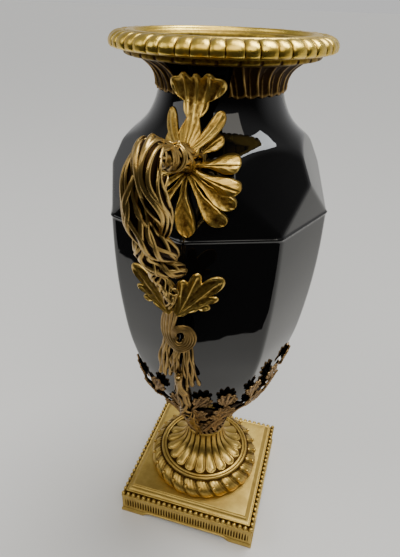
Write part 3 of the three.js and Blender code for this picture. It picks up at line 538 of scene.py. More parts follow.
def cup_skins():
    """A thin shell, a twisted rope and a thinner one above it, four tiers of carved oak leaves
    that follow the wreath's swaying edge, and two feathered stems beside each tail."""
    cols = 192
    angle = np.arange(cols)[None] / cols * TURN
    rows = np.linspace(0, 1, 24)[:, None]
    top = cup_top(angle) - 30 + 4 * np.cos(14 * angle)
    z = mix(91.5, top, rows)
    ripple = 0.9 + 0.35 * np.cos(angle * 24 + 8 * rows) + 0.25 * np.cos(angle * 17 - 21 * rows)
    shell = cup_wall(angle, z, ripple)
    inner = cup_wall(angle, z[::-1], 0.0)
    parts = [skin(np.concatenate([shell, inner]), 0.0, wrap=True)]
    for level, radius, thick, count in [(88.7, 18.3, 2.2, 26), (94.2, 20.0, 1.7, 30)]:
        ring = np.arange(cols * 2)[:, None] / (cols * 2) * TURN
        phi = np.arange(12)[None] / 12 * TURN
        twist = thick * (1 + 0.18 * np.cos(count * ring + 2 * phi))
        grid = polar(radius + twist * np.cos(phi), ring, level + twist * np.sin(phi))
        parts.append(skin(grid, smooth(0.85, 1.15, twist / thick), wrap=True))
    sleeve = np.array([(18.0, CUP_BASE), (18.6, 86.6), (18.6, 97.0), (18.0, 99.0)])
    parts.append(skin(polar(sleeve[:, :1], angle, sleeve[:, 1:]), 0.1))
    rng = np.random.default_rng(4)
    oak = [
        (90, 1.0, 21), (57, 0.9, 19), (123, 0.9, 19), (21, 0.76, 22), (159, 0.76, 22),
        (-14, 0.6, 20), (194, 0.6, 20), (270, 0.95, 16),
    ]
    # Each tier: leaves round it, how far below the edge, leaf size, stand-off, sway, half a step
    tiers = [
        (18, 12.5, 12.5, 1.2, 0.35, 0.0), (15, 33, 14, 2.6, 0.3, 0.5),
        (12, 56, 14, 2.2, 0.25, 0.0), (9, 79, 12.5, 1.8, 0.15, 0.5),
    ]
    for count, below, size, lift, wild, offset in tiers:
        top_tier = below < 20
        for k in range(count):
            turn = TURN * (k + offset + rng.uniform(-0.1, 0.1)) / count
            step = 2.2 * (-1) ** k if top_tier else 0
            middle = cup_top(turn) - below + rng.uniform(-1.5, 1.5) + step
            lean = rng.uniform(-wild, wild) + (0.25 * (-1) ** k if top_tier else 0)
            scale = size * rng.uniform(0.9, 1.08)
            lobes = [(direction - math.degrees(lean), length * scale, spread)
                     for direction, length, spread in oak]

            def place(u, v, rise, turn=turn, lift=lift, middle=middle, scale=scale):
                around = np.maximum(body_radius(turn, np.maximum(v, BODY_BASE)), 20)
                curl = 0.9 * np.hypot(u, v - middle) / scale
                return cup_wall(turn + u / around, v, lift + rise + curl)

            stalk = (-math.sin(lean) * scale * 0.9, middle - scale * 0.9)
            parts.append(carved_leaf(place, (0, middle), lobes, stalk, scale * 0.5, 1.4,
                                     rows=9, cols=60, vein=0.8))
    for middle in (-np.pi / 2, np.pi / 2):
        for way in (1, -1):
            t = np.linspace(0, 1, 60)
            sway = middle + way * (0.13 + 0.82 * t ** 0.8)
            level = 99 + 62 * t ** 1.25
            spine = cup_wall(sway, level, 4.6 - 0.8 * t)
            parts.append(tube(spine, 1.35 - 0.45 * t, 8, (0, 0, 1), middle=cup_wall(sway, level, 3.2)))
            for k in range(17):
                share = 0.04 + 0.052 * k
                s = np.linspace(0, 1, 8)
                at = np.interp(share, t, sway) + way * 0.075 * s
                low = np.interp(share, t, level) - 5.2 * s
                barb = cup_wall(at, low, 4.4 - 1.2 * s)
                under = cup_wall(at, low, 3.2)
                parts.append(tube(barb, 0.95 - 0.35 * s, 6, (0, 0, 1), middle=under))
    return parts


# Rim and collar
def gadroon_cell(angle):
    """Place across a gadroon from -1 to 1, and whether it is the wide one of its pair."""
    pair = (angle * GADROON_PAIRS / TURN) % 1
    wide = pair < WIDE_SHARE
    return np.where(wide, pair / WIDE_SHARE, (pair - WIDE_SHARE) / NARROW_SHARE) * 2 - 1, wide


def rim_skins():
    """Lip, gadroons, fillet and throat are one profile turned about the axis. The gadroons are
    pillows (1 - x^3.2)^0.62 high with a raised line inside each edge; small tabs run below."""
    cols = 768
    angle = np.arange(cols)[None] / cols * TURN
    outer = [
        (38.4, 433.9, 0), (44, 434.4, 0), (50, 436.5, 0), (51, 439, 0), (51.2, 444.5, 0),
        (51.8, 446.3, 0), (53, 446.8, 0), (57.6, 447.0, 0), (58.6, 447.4, 0), (59.2, 449.2, 0),
        (59.9, 449.9, 0), (61, RIM_TOP, 0), (63.6, RIM_TOP, 0), (64.4, 449.8, 0.0), (64.9, 449.3, 0.05),
        (65.6, 449.0, 0.3), (67.2, 449.3, 0.8), (69.2, 449.2, 1), (71.2, 448.6, 1), (73.0, 447.6, 1),
        (74.4, 446.3, 1), (75.3, 444.8, 1), (75.6, 443.2, 1), (75.3, 441.8, 0.9), (74.6, 440.6, 0.6),
        (73.8, 440.0, 0.2), (72.8, 439.7, 0), (69.5, 439.5, 0), (66.6, 439.3, 0), (66.2, 438.8, 0),
        (66.3, 437.6, 0), (65.9, 436.4, 0), (65.0, 435.8, 0), (64.0, 435.6, 0), (58, 434.2, 0),
        (50, 432.9, 0), (46, 432.4, 0), (44.6, 432.6, 0), (43.9, 433.4, 0),
    ]
    radius, level, pillow = dense_profile(outer, 80)
    in_r, in_z = out_of(radius, level)
    out_r, out_z = -in_r, -in_z
    across, wide = gadroon_cell(angle)
    swell = np.clip(1 - np.abs(across) ** 3.2, 0, 1) ** 0.62
    line = bump(np.abs(across), 0.84, 0.06)
    carved = pillow * (2.25 * swell - 1.75 + 0.5 * line + 0.15 * np.where(wide, 1, 0))
    band = bump(level, 441.3, 0.5) * (radius > 72)
    carved = carved + 0.4 * band * smooth(1.0, 0.9, np.abs(across))
    cell = np.abs((angle * COLLAR_FLUTES / TURN) % 1 * 2 - 1)
    tab = bump(level, 436.7, 0.95) * (radius > 62.5)
    carved = carved + tab * (1.1 * np.clip(1 - cell ** 6, 0, 1) - 0.6)
    tone = 0.88 - pillow * smooth(0.8, 0.97, np.abs(across)) + 0.12 * line * pillow
    tone = tone - 0.9 * tab * smooth(0.8, 0.95, cell)
    # Painted shade: the lower half of each gadroon's outer swell is darkened, as where it turns down away
    # from the light
    tone = tone - 0.38 * smooth(445.5, 441.8, level) * (radius > 70) * (1 - line) * (1 - band)
    tone = tone - 0.55 * bump(radius, LIP_RADIUS, 0.7) * (level > 445)
    # Painted shade: every point below the fillet under the gadroons is darkened, as under the rim's overhang
    tone = tone - 0.55 * smooth(439.7, 438.9, level) + 0 * angle
    tone = tone - 0.5 * (radius < 58.5) * (level < 449) - 0.15 * bump(radius, 59, 0.5)
    grid = polar(radius + carved * out_r, angle, level + carved * out_z)
    return [skin(grid, np.clip(tone, 0, 1), wrap=True)]


def collar_skins():
    """The flared collar in two halves, cut away behind the upright leaves. Each of its flutes
    is hollow between two sharp edges, swirls as it rises and ends in a scallop."""
    parts = []
    profile = through([(0, 0.0), (0.35, 0.06), (0.6, 0.22), (0.8, 0.52), (1, 1)], np.linspace(0, 1, 20))
    for middle in (0.0, np.pi):
        turn = np.linspace(middle - 1.215, middle + 1.215, 320)[:, None]
        share = np.linspace(0, 1, 20)[None]
        cell = (turn * COLLAR_FLUTES / TURN + 0.85 * share ** 1.6) % 1
        edge = bump(cell, 0.0, 0.09) + bump(cell, 1.0, 0.09)
        hollow = np.sin(np.pi * cell ** 0.8)
        rib = bump(cell, 0.42, 0.07)
        tip = 1.9 * (1 - np.abs((turn * COLLAR_FLUTES / TURN) % 1 * 2 - 1) ** 2)
        level = mix(416.2 - tip, 437.4, share)
        relief = 0.55 * edge + 0.35 * rib + 0.5 * bump(share, 0.03, 0.03)
        radius = 45.2 + 18.4 * profile[None] - 0.8 * hollow + relief
        face = polar(radius, turn, level)
        back = polar(0 * radius + (44.2 + 18.0 * profile[None, ::-1]), turn, level[:, ::-1] + 0.3)
        shade = 0.62 * edge + 0.3 * rib + 0.24 + 0.35 * bump(share, 0.03, 0.04) - 0.25 * share
        shade = np.clip(shade, 0, 1)
        tones = np.concatenate([shade, np.zeros_like(shade)], 1)
        parts.append(skin(np.concatenate([face, back], 1), tones))
    return parts


# Handle, made for the front side
def wrap_round(path, girth, start, end, turns, thickness, phase=0.0):
    """A cord wound round the arch from one share of it to another: angle grows evenly."""
    steps = int(turns * 26)
    t = np.linspace(start, end, steps)
    count = np.linspace(0, 1, len(path))
    centre = np.stack([np.interp(t, count, path[:, k]) for k in range(3)], 1)
    radius = np.interp(t, count, girth)
    across, up = frame_of(path)
    across = np.stack([np.interp(t, count, across[:, k]) for k in range(3)], 1)
    up = np.stack([np.interp(t, count, up[:, k]) for k in range(3)], 1)
    phi = np.linspace(0, turns * TURN, steps) + phase
    away = radius[:, None] * (np.cos(phi)[:, None] * across + np.sin(phi)[:, None] * up)
    return tube(centre + away, thickness, 7, middle=centre)


def ply(stations, count, turns, share, seed, wander, rows=76):
    """One ply of the twist: stems round a line through (x, y, z, girth) stations, each as thick as
    a share of the girth, over a dark core that shows between them."""
    line = line_through(stations, rows)
    path, girth = line[:, :3], line[:, 3]
    parts = stems(path, girth, count, turns, girth * share, seed, wander)
    parts.append(tube(path, girth * 0.72, 8, tone=0.0))
    return parts


def arch_skins():
    """A root arm with fine cords and a looped knot, then three plies that cross the front from
    upper left to lower right in turn over an inner one, and a narrow shank down to the second
    knot."""
    arm = [
        (0, -62, 381.5, 8.6), (0, -78, 386, 8.2), (0, -92, 390, 7.8), (0, -106, 394, 7.2),
        (0, -119, 399, 7.0), (0.5, -131, 404, 7.2), (1, -140, 406, 6.6),
    ]
    first = [
        (0.8, -126, 403, 5.0), (1.6, -137.5, 407, 6.6), (2.4, -145, 403.5, 7.3), (3.8, -147.5, 395, 7.2),
        (6.6, -145.5, 385.5, 6.6), (8.3, -140.0, 375, 5.2), (7.2, -134, 366, 4.0),
        (2.5, -127, 357, 3.4), (-3, -122, 350, 3),
    ]
    second = [
        (-1.5, -131, 405, 4.0), (-3.5, -141, 401, 5.0), (-5.0, -144.5, 394, 5.8), (-6.4, -143.5, 383, 6.9),
        (-5.6, -141, 372, 7.4), (-2.2, -137.5, 361, 7.4), (2.6, -131, 352, 7.0),
        (5.8, -124.5, 346.5, 5.6), (4.6, -117, 341, 4.4), (-1, -111, 336, 4),
    ]
    third = [
        (-2, -134, 366, 4.0), (-6.4, -133, 357, 5.0), (-8.6, -129, 349, 5.2), (-8.0, -123.5, 340.5, 5.6),
        (-4.0, -119, 333.5, 5.8), (2.2, -113, 329.5, 5.6), (6.2, -107, 326.5, 4.6),
        (4.6, -101, 322, 3.8), (0, -98, 317, 3.4),
    ]
    shank = [
        (-4, -121, 335, 4.0), (-6.6, -115, 326, 4.6), (-5.4, -109, 318, 4.8),
        (-2.6, -105, 310, 5.2), (-1.6, -102, 302, 5.2), (-2.4, -98.5, 294, 4.8),
    ]
    inner = [
        (3, -128, 392, 5.0), (2, -133, 378, 5.2), (0, -130, 364, 5.0),
        (1, -122, 350, 4.6), (0, -112, 336, 4.4), (0, -104, 322, 4.0),
    ]
    parts = ply(arm, 16, 0.7, 0.185, 2, 0.5, 60)
    parts += ply(first, 12, 0.12, 0.205, 3, 0.36)
    parts += ply(second, 13, 0.24, 0.195, 4, 0.4)
    parts += ply(third, 13, 0.34, 0.2, 5, 0.45)
    parts += ply(shank, 12, 0.45, 0.205, 6, 0.4, 60)
    parts += ply(inner, 6, 0.4, 0.3, 7, 0.3, 50)
    line = line_through(arm, 90)
    path, girth = line[:, :3], line[:, 3]
    parts.append(wrap_round(path, girth, 0.02, 0.12, 2.2, 1.0))
    parts.append(wrap_round(path, girth, 0.46, 0.56, 2.0, 1.25, 1.0))
    turn = np.linspace(0, TURN * 1.06, 40)
    upper_knot = [
        (-1.8, -107.0, 400.6, 2.9, 1.8, 0.5), (1.6, -103.6, 400.6, 2.7, 1.9, -0.6),
        (0.2, -109.6, 397.6, 2.6, 2.0, 0.2), (2.8, -107.6, 398.6, 2.2, 1.6, 1.2),
    ]
    for x, y, z, wide, high, lean in upper_knot:
        along, up = wide * np.cos(turn), high * np.sin(turn)
        loop_x = x + along * math.cos(lean) - up * math.sin(lean)
        loop_y = y + 0.55 * (along * math.sin(lean) + up * math.cos(lean))
        loop_z = z + 0.7 * np.sin(turn * 2) + 0.4 * up
        parts.append(tube(np.stack([loop_x, loop_y, loop_z], 1), 0.95, 8, (0, 0, 1), tone=0.9))
    lower_knot = [(-2.4, 309.5, 2.7, 2.1, 0.9), (1.4, 309.0, 2.9, 2.2, -0.7), (-0.4, 304.6, 2.2, 2.9, 0.1)]
    for x, z, wide, high, lean in lower_knot:
        along, up = wide * np.cos(turn), high * np.sin(turn)
        loop_x = x + along * math.cos(lean) - up * math.sin(lean)
        loop_y = -107.2 + 0.6 * np.sin(turn * 2) + 0.25 * (z - 304)
        loop_z = z + along * math.sin(lean) + up * math.cos(lean)
        parts.append(tube(np.stack([loop_x, loop_y, loop_z], 1), 1.1, 8, (0, 1, 0), tone=0.95))
    return parts


def petals():
    """A fan of eleven petals that spring from under the arm, five a side and one below."""
    shape = [
        (0, 0.3), (0.25, 0.3), (0.42, 0.5), (0.62, 0.9), (0.78, 1), (0.9, 0.86), (0.97, 0.52), (1, 0.14),
    ]
    # Each blade: start and tip (across, up, stand-off), half width, thickness, form, sideways bow
    blades = [
        ((4.0, 384, 8.0), (17.8, 395.4, 8.5), 4.6, 2.0, "round", 0.6),
        ((3.0, 380.5, 8.0), (31.4, 382.2, 6.0), 5.4, 2.4, "round", 0.5),
        ((2.6, 378.5, 8.0), (33.6, 368.2, 5.0), 5.2, 2.6, "round", -0.8),
        ((2.2, 377, 7.5), (31.8, 358.6, 4.5), 5.4, 2.4, "gutter", -1.6),
        ((1.6, 375, 7.0), (26.6, 346.8, 4.0), 5.6, 2.4, "gutter", -2.2),
    ]
    parts = []
    for start, tip, width, thickness, form, bend in blades:
        for way in (1, -1):
            base, end = (way * start[0], *start[1:]), (way * tip[0], *tip[1:])
            parts.append(lobe(on_wall, base, end, width, thickness, form,
                              shape, rows=28, half=8, bend=bend * way))
    parts.append(lobe(on_wall, (-1.0, 375, 6.0), (4.6, 338.8, 3.5), 6.6, 2.4, "gutter",
                      shape, rows=38, half=9, bend=-2.6))
    return parts


def upright_leaf():
    """One carved leaf that springs from the top of the arm and leans back to the neck: a broad
    top of five soft lobes over a stalk, and a ridged blade on each side below it."""
    line = [
        (384, 81), (391, 79.5), (399, 71.5), (406.5, 64), (415, 59), (423, 58), (430, 60.6), (434, 63),
    ]

    def place(u, v, lift):
        bend = 5.0 * (u / 16) ** 2 * np.clip((424 - v) / 30, 0, 1)
        radius = through(line, v) - bend + lift
        return polar(radius, -np.pi / 2 + u / radius, v)

    lobes = [
        (90, 17.4, 21), (63, 19.6, 21), (117, 19.6, 21), (38, 21.6, 27), (142, 21.6, 27),
        (258, 27, 17), (282, 27, 17),
    ]
    parts = [carved_leaf(place, (0, 413.4), lobes, (0, 386), 8.0, 1.5, rows=19, cols=216, vein=1.0)]
    shape = [(0, 0.55), (0.25, 0.6), (0.5, 0.86), (0.75, 1.0), (0.9, 0.84), (0.97, 0.5), (1, 0.12)]
    for way in (1, -1):
        parts.append(lobe(place, (way * 1.4, 390.5, 0.9), (way * 17.0, 410.0, 0.3), 4.5, 1.5, "ridge",
                          shape, rows=30, half=7, bend=-way * 2.2))
    return parts


def lower_leaves():
    """A pair of oak leaves that spring from the lower knot, each of a long round lobe, two lobes
    above it, two below and a short wide one at its base."""
    lobes = [(41, 28.4, 23), (8, 19.0, 17), (-20, 14.6, 21), (75, 22.8, 19), (105, 17.6, 24), (235, 12.5, 44)]
    parts = []
    for way in (1, -1):

        def place(u, v, lift, way=way):
            y = -(101.5 - 0.33 * np.abs(u) + lift)
            return np.stack(np.broadcast_arrays(way * u, y, v), -1)

        parts.append(carved_leaf(place, (9.4, 298.6), lobes, (3.4, 289), 8.5, 1.5,
                                 rows=15, cols=180, vein=0.9, cup=2.4))
    return parts


def scroll_skins():
    """Five stems that run down from the knot and curl into an open hook, side by side along the
    wall and closing up as the hook turns in, over a dark core."""
    points = [
        (-1.4, 303, 12.5), (-3.2, 293, 11), (-5.6, 282, 9.6), (-8.0, 272, 8.4), (-8.8, 262.5, 7.6),
        (-6.4, 255.0, 7.2), (-0.2, 251.6, 7.2), (5.8, 254.6, 7.2), (8.0, 261.6, 7.4), (6.2, 268.4, 7.8),
        (1.4, 270.4, 8.2), (-2.6, 267.0, 8.4), (-3.0, 262.2, 8.2), (-0.4, 259.8, 7.6),
    ]
    rows = 110
    flat = line_through(points, rows)
    t = np.linspace(0, 1, rows)
    along = unit(np.gradient(flat[:, :2], axis=0))
    aside = np.stack([-along[:, 1], along[:, 0]], 1)
    spread = np.interp(t, [0, 0.3, 0.5, 0.72, 0.88, 1], [1.25, 1.3, 1.15, 0.95, 0.6, 0.3])
    parts = []
    for k in range(5):
        place = k - 2
        off = place * 1.75 * spread
        cross = 0.9 * np.sin(TURN * 0.9 * t + k * 1.3) * smooth(0.42, 0.1, t)
        x = flat[:, 0] + aside[:, 0] * off + cross
        z = flat[:, 1] + aside[:, 1] * off
        sway = 0.5 * np.cos(TURN * 1.1 * t + 2 * k) * smooth(0.45, 0.1, t)
        crown = 1.6 * np.sqrt(1 - (place / 2.6) ** 2) + sway
        path = on_wall(x, z, flat[:, 2] + crown)
        middle = on_wall(x, z, flat[:, 2] + crown - 1.2)
        parts.append(tube(path, 1.02 * spread + 0.28, 8, (0, 1, 0), middle=middle))
    back = on_wall(flat[:, 0], flat[:, 1], flat[:, 2] - 1.2)
    parts.append(tube(back, 2.6 * spread, 8, (0, 1, 0), tone=0.0))
    return parts


def tassel_skins():
    """Three tassels like roots: five strands each that swell, touch and part again over a dark
    core, and end at uneven heights."""
    rng = np.random.default_rng(21)
    parts = []
    tassels = [((-9.0, 260), -18.0, 206.5, 5.6), ((-2.0, 252), -6.2, 217, 4.2), ((4.0, 258), 6.2, 202.5, 5.0)]
    for top, foot, low_z, spread in tassels:
        for k in range(5):
            place = (k - 2) / 2
            t = np.linspace(0, 1, 40)
            wave = 0.85 * np.sin(TURN * 1.35 * t + k * np.pi + rng.uniform(-0.5, 0.5))
            x = mix(top[0], foot, t ** 0.75) + spread * place * (0.42 + 0.5 * t) + wave
            z = mix(top[1], low_z + rng.uniform(0, 3), t)
            crown = 2.6 * np.sqrt(np.clip(1 - 0.8 * place ** 2, 0, 1))
            lift = 4.2 + crown + 0.5 * np.sin(TURN * 2 * t + k)
            path = on_wall(x, z, lift)
            middle = on_wall(x, z, lift - 1.6)
            size = 1.35 + 0.35 * np.sin(TURN * 1.9 * t + 2.1 * k) + 0.35 * smooth(0.8, 1, t)
            parts.append(tube(path, size, 7, (0, 1, 0), middle=middle))
        t = np.linspace(0, 1, 24)
        core = on_wall(mix(top[0], foot, t ** 0.75), mix(top[1], low_z + 3, t), 2.8 + 0 * t)
        parts.append(tube(core, mix(1.8, spread * 0.62, t), 8, (0, 1, 0), tone=0.0))
    return parts


def tail_skins():
    """A knotty trunk of strands that cross and part, from the pearl down to the rope, with short
    spurs at its top."""
    points = [
        (-1.6, 223, 6.4), (-2.0, 208, 5.4), (-2.0, 192, 4.8), (-2.2, 176, 4.6),
        (-3.0, 158, 4.6), (-3.6, 140, 4.8), (-3.4, 124, 5.0), (-2.6, 112, 5.4),
    ]
    flat = line_through(points, 120)
    high = cup_wall(np.arctan2(-60.0, flat[:, 0]), flat[:, 1], 0.0)
    radius = np.hypot(high[:, 0], high[:, 1]) + flat[:, 2]
    path = np.stack([flat[:, 0], -np.sqrt(radius ** 2 - flat[:, 0] ** 2), flat[:, 1]], 1)
    end = np.array([[-2.0, -27.4, 104], [-1.0, -25.4, 97], [0, -24.4, 91]])
    path = line_through(np.concatenate([path[::6], end]), 90)
    t = np.linspace(0, 1, 90)
    thick = [(0, 3.4), (0.08, 5.0), (0.3, 5.2), (0.6, 5.0), (0.85, 4.6), (1, 3.4)]
    girth = through(thick, t) * (1 + 0.07 * np.sin(TURN * 7 * t))
    parts = stems(path, girth, 7, 0.55, 1.45, 31, 1.1)
    parts += stems(path, girth * 0.96, 4, -0.8, 1.2, 32, 0.8)
    parts.append(tube(path, girth * 0.6, 8, tone=0.0))
    for way, z in ((-1, 213), (-1, 206), (1, 209)):
        s = np.linspace(0, 1, 14)
        spur = on_wall(-2.2 + way * (3.0 + 3.6 * s), z - 6.5 * s ** 2, 5.5 - 1.2 * s)
        parts.append(tube(spur, 1.5 - 0.5 * s, 7, (0, 1, 0), tone=0.7))
    parts.append(ball(on_wall(-1.2, 219.0, 11.2), 2.9, 10, 16, 1.0))
    return parts


# Finishes
def group(name, inputs, outputs):
    """An empty shader node group with named sockets."""
    tree = bpy.data.node_groups.new(name, "ShaderNodeTree")
    for label, kind, value in inputs:
        socket = tree.interface.new_socket(label, in_out="INPUT", socket_type=kind)
        socket.default_value = value
    for label, kind in outputs:
        tree.interface.new_socket(label, in_out="OUTPUT", socket_type=kind)
    return tree, tree.nodes.new("NodeGroupInput"), tree.nodes.new("NodeGroupOutput")


def node(tree, kind, values=None, **settings):
    """A node with its settings and unlinked socket values."""
    made = tree.nodes.new(kind)
    for key, value in settings.items():
        setattr(made, key, value)
    for key, value in (values or {}).items():
        made.inputs[key].default_value = value
    return made


def math_node(tree, operation, a, b):
    """A Math node on two sockets or numbers."""
    made = node(tree, "ShaderNodeMath", operation=operation)
    for slot, value in ((0, a), (1, b)):
        if isinstance(value, (int, float)):
            made.inputs[slot].default_value = value
        else:
            tree.links.new(value, made.inputs[slot])
    return made.outputs[0]


def noise(tree, scale, detail=4.0, rough=0.55):
    """Noise on object coordinates, where the scale counts features per metre."""
    coord = node(tree, "ShaderNodeTexCoord")
    made = node(tree, "ShaderNodeTexNoise", {"Scale": scale, "Detail": detail, "Roughness": rough})
    tree.links.new(coord.outputs["Object"], made.inputs["Vector"])
    return made.outputs["Fac"]


def ramp_value(tree, value, low, high, to_low=0.0, to_high=1.0):
    """A smooth step of a value from one range to another."""
    made = node(tree, "ShaderNodeMapRange", interpolation_type="SMOOTHSTEP")
    for key, number in (("From Min", low), ("From Max", high), ("To Min", to_low), ("To Max", to_high)):
        made.inputs[key].default_value = number
    tree.links.new(value, made.inputs["Value"])
    return made.outputs["Result"]


def make_patina_group():
    """Brown patina: 1 in the recesses, where the tone is low, broken up by noise, and 0 on worn
    high points. Also puts out a mottle and a fine casting grain."""
    number = "NodeSocketFloat"
    tree, inp, out = group("patina", [("Reach", number, 0.5), ("Break", number, 0.3)],
                           [("Patina", number), ("Mottle", number), ("Grain", number)])
    tone = node(tree, "ShaderNodeAttribute", attribute_name="tone").outputs["Fac"]
    broad = noise(tree, 60.0, 5.0, 0.6)
    fine = noise(tree, 420.0, 4.0, 0.6)
    grain = noise(tree, 1500.0, 3.0, 0.6)
    shift = math_node(tree, "MULTIPLY", math_node(tree, "SUBTRACT", broad, 0.5), inp.outputs["Break"])
    fine_shift = math_node(tree, "MULTIPLY", math_node(tree, "SUBTRACT", fine, 0.5), inp.outputs["Break"])
    worn = math_node(tree, "ADD", math_node(tree, "ADD", tone, shift), fine_shift)
    depth = math_node(tree, "SUBTRACT", inp.outputs["Reach"], worn)
    mask = ramp_value(tree, depth, -0.22, 0.3)
    tree.links.new(mask, out.inputs["Patina"])
    tree.links.new(ramp_value(tree, broad, 0.3, 0.7), out.inputs["Mottle"])
    coarse_part = math_node(tree, "MULTIPLY", fine, 0.7)
    height = math_node(tree, "ADD", coarse_part, math_node(tree, "MULTIPLY", grain, 0.3))
    tree.links.new(height, out.inputs["Grain"])
    return tree


def make_blend_group():
    """Three colours in order: bright metal, mottled metal, then patina over both."""
    colour, number = "NodeSocketColor", "NodeSocketFloat"
    inputs = [
        ("Bright", colour, (1, 1, 1, 1)), ("Dull", colour, (1, 1, 1, 1)), ("Brown", colour, (0, 0, 0, 1)),
        ("Mottle", number, 0.5), ("Patina", number, 0.5),
    ]
    tree, inp, out = group("metal_blend", inputs, [("Colour", colour)])
    first = node(tree, "ShaderNodeMix", data_type="RGBA")
    second = node(tree, "ShaderNodeMix", data_type="RGBA")
    tree.links.new(inp.outputs["Mottle"], first.inputs["Factor"])
    tree.links.new(inp.outputs["Bright"], first.inputs[6])
    tree.links.new(inp.outputs["Dull"], first.inputs[7])
    tree.links.new(inp.outputs["Patina"], second.inputs["Factor"])
    tree.links.new(first.outputs[2], second.inputs[6])
    tree.links.new(inp.outputs["Brown"], second.inputs[7])
    tree.links.new(second.outputs[2], out.inputs["Colour"])
    return tree


patina_group = make_patina_group()
blend_group = make_blend_group()


def gilt(name, bright, dull, brown, rough, reach, broken, relief):
    """Gilt bronze: bright and dull gold in patches, brown in the recesses, rougher where brown."""
    finish = bpy.data.materials.new(name)
    finish.use_nodes = True
    tree = finish.node_tree
    shader = tree.nodes["Principled BSDF"]
    shader.inputs["Metallic"].default_value = 1.0
    patina = tree.nodes.new("ShaderNodeGroup")
    patina.node_tree = patina_group
    patina.inputs["Reach"].default_value = reach
    patina.inputs["Break"].default_value = broken
    blend = tree.nodes.new("ShaderNodeGroup")
    blend.node_tree = blend_group
    for key, value in (("Bright", bright), ("Dull", dull), ("Brown", brown)):
        blend.inputs[key].default_value = (*value, 1)
    tree.links.new(patina.outputs["Mottle"], blend.inputs["Mottle"])
    tree.links.new(patina.outputs["Patina"], blend.inputs["Patina"])
    tree.links.new(blend.outputs["Colour"], shader.inputs["Base Color"])
    patchy = math_node(tree, "MULTIPLY", patina.outputs["Mottle"], 0.1)
    aged = math_node(tree, "MULTIPLY", patina.outputs["Patina"], 0.26)
    total = math_node(tree, "ADD", math_node(tree, "ADD", patchy, aged), rough)
    tree.links.new(total, shader.inputs["Roughness"])
    dents = node(tree, "ShaderNodeBump", {"Strength": relief, "Distance": 0.0006})
    tree.links.new(patina.outputs["Grain"], dents.inputs["Height"])
    tree.links.new(dents.outputs["Normal"], shader.inputs["Normal"])
    return finish


def black_glaze():
    """Black glaze: nearly mirror smooth, with faint dust that raises the roughness in patches and
    a slow ripple of the fired surface."""
    finish = bpy.data.materials.new("black_glaze")
    finish.use_nodes = True
    tree = finish.node_tree
    shader = tree.nodes["Principled BSDF"]
    shader.inputs["Base Color"].default_value = (0.004, 0.004, 0.0045, 1)
    shader.inputs["IOR"].default_value = 1.5
    dust = ramp_value(tree, noise(tree, 90.0, 6.0, 0.7), 0.5, 0.8, 0.03, 0.1)
    tree.links.new(dust, shader.inputs["Roughness"])
    ripple = node(tree, "ShaderNodeBump", {"Strength": 0.25, "Distance": 0.0004})
    tree.links.new(noise(tree, 28.0, 2.0, 0.4), ripple.inputs["Height"])
    tree.links.new(ripple.outputs["Normal"], shader.inputs["Normal"])
    return finish


# Each gilt finish: bright, dull and brown colour, roughness, reach of brown, its break-up, grain
GILTS = {
    "plinth_gilt": ((0.62, 0.44, 0.12), (0.46, 0.31, 0.08), (0.09, 0.042, 0.009), 0.42, 0.44, 0.35, 0.3),
    "foot_gilt": ((0.6, 0.41, 0.11), (0.41, 0.26, 0.06), (0.06, 0.028, 0.006), 0.3, 0.5, 0.35, 0.3),
    "cup_bronze": ((0.42, 0.27, 0.12), (0.27, 0.165, 0.075), (0.024, 0.012, 0.005), 0.36, 0.56, 0.4, 0.4),
    "rim_gilt": ((0.9, 0.64, 0.12), (0.66, 0.44, 0.075), (0.045, 0.02, 0.004), 0.24, 0.44, 0.3, 0.3),
    "collar_gilt": ((0.46, 0.29, 0.09), (0.28, 0.17, 0.05), (0.035, 0.016, 0.004), 0.36, 0.5, 0.4, 0.3),
    "handle_gilt": ((0.62, 0.42, 0.13), (0.37, 0.235, 0.07), (0.03, 0.014, 0.004), 0.27, 0.56, 0.45, 0.35),
    # The root gilt is a darker copy of the handle gilt with the brown reaching further: painted shade on the
    # low scroll, tassels and tail
    "root_gilt_painted_shade": ((0.46, 0.3, 0.1), (0.26, 0.16, 0.05), (0.018, 0.009, 0.003), 0.3, 0.74, 0.45, 0.4),
    "leaf_gilt": ((0.78, 0.54, 0.14), (0.52, 0.32, 0.065), (0.08, 0.034, 0.005), 0.29, 0.5, 0.6, 0.35),
}
gilts = {name: gilt(name, *values) for name, values in GILTS.items()}
glaze = black_glaze()

piece("plinth_casting", plinth_skins(), gilts["plinth_gilt"], "plinth")
piece("foot_casting", foot_skins(), gilts["foot_gilt"], "foot")
piece("leaf_wreath", cup_skins(), gilts["cup_bronze"], "leaf_cup")
piece("black_body", ceramic_skin(), glaze, "ceramic_body")
piece("gadrooned_rim", rim_skins(), gilts["rim_gilt"], "rim_mount")
piece("fluted_collar", collar_skins(), gilts["collar_gilt"])
stem_parts = arch_skins()
root_parts = scroll_skins() + tassel_skins() + tail_skins()
leaf_parts = petals() + upright_leaf() + lower_leaves()
for side, angle in (("front", 0.0), ("back", np.pi)):
    handle = f"handle_{side}"
    piece(f"stems_{side}", turned(stem_parts, angle), gilts["handle_gilt"], handle)
    piece(f"leaves_{side}", turned(leaf_parts, angle), gilts["leaf_gilt"])
    # The scroll, tassels and tail take the darker root gilt: painted shade on the low parts
    piece(f"roots_{side}", turned(root_parts, angle), gilts["root_gilt_painted_shade"])


# Floor, light and camera
def floor_material():
    finish = bpy.data.materials.new("pale_floor")
    finish.use_nodes = True
    shader = finish.node_tree.nodes["Principled BSDF"]
    shader.inputs["Base Color"].default_value = (0.74, 0.74, 0.73, 1)
    shader.inputs["Roughness"].default_value = 0.7
    return finish


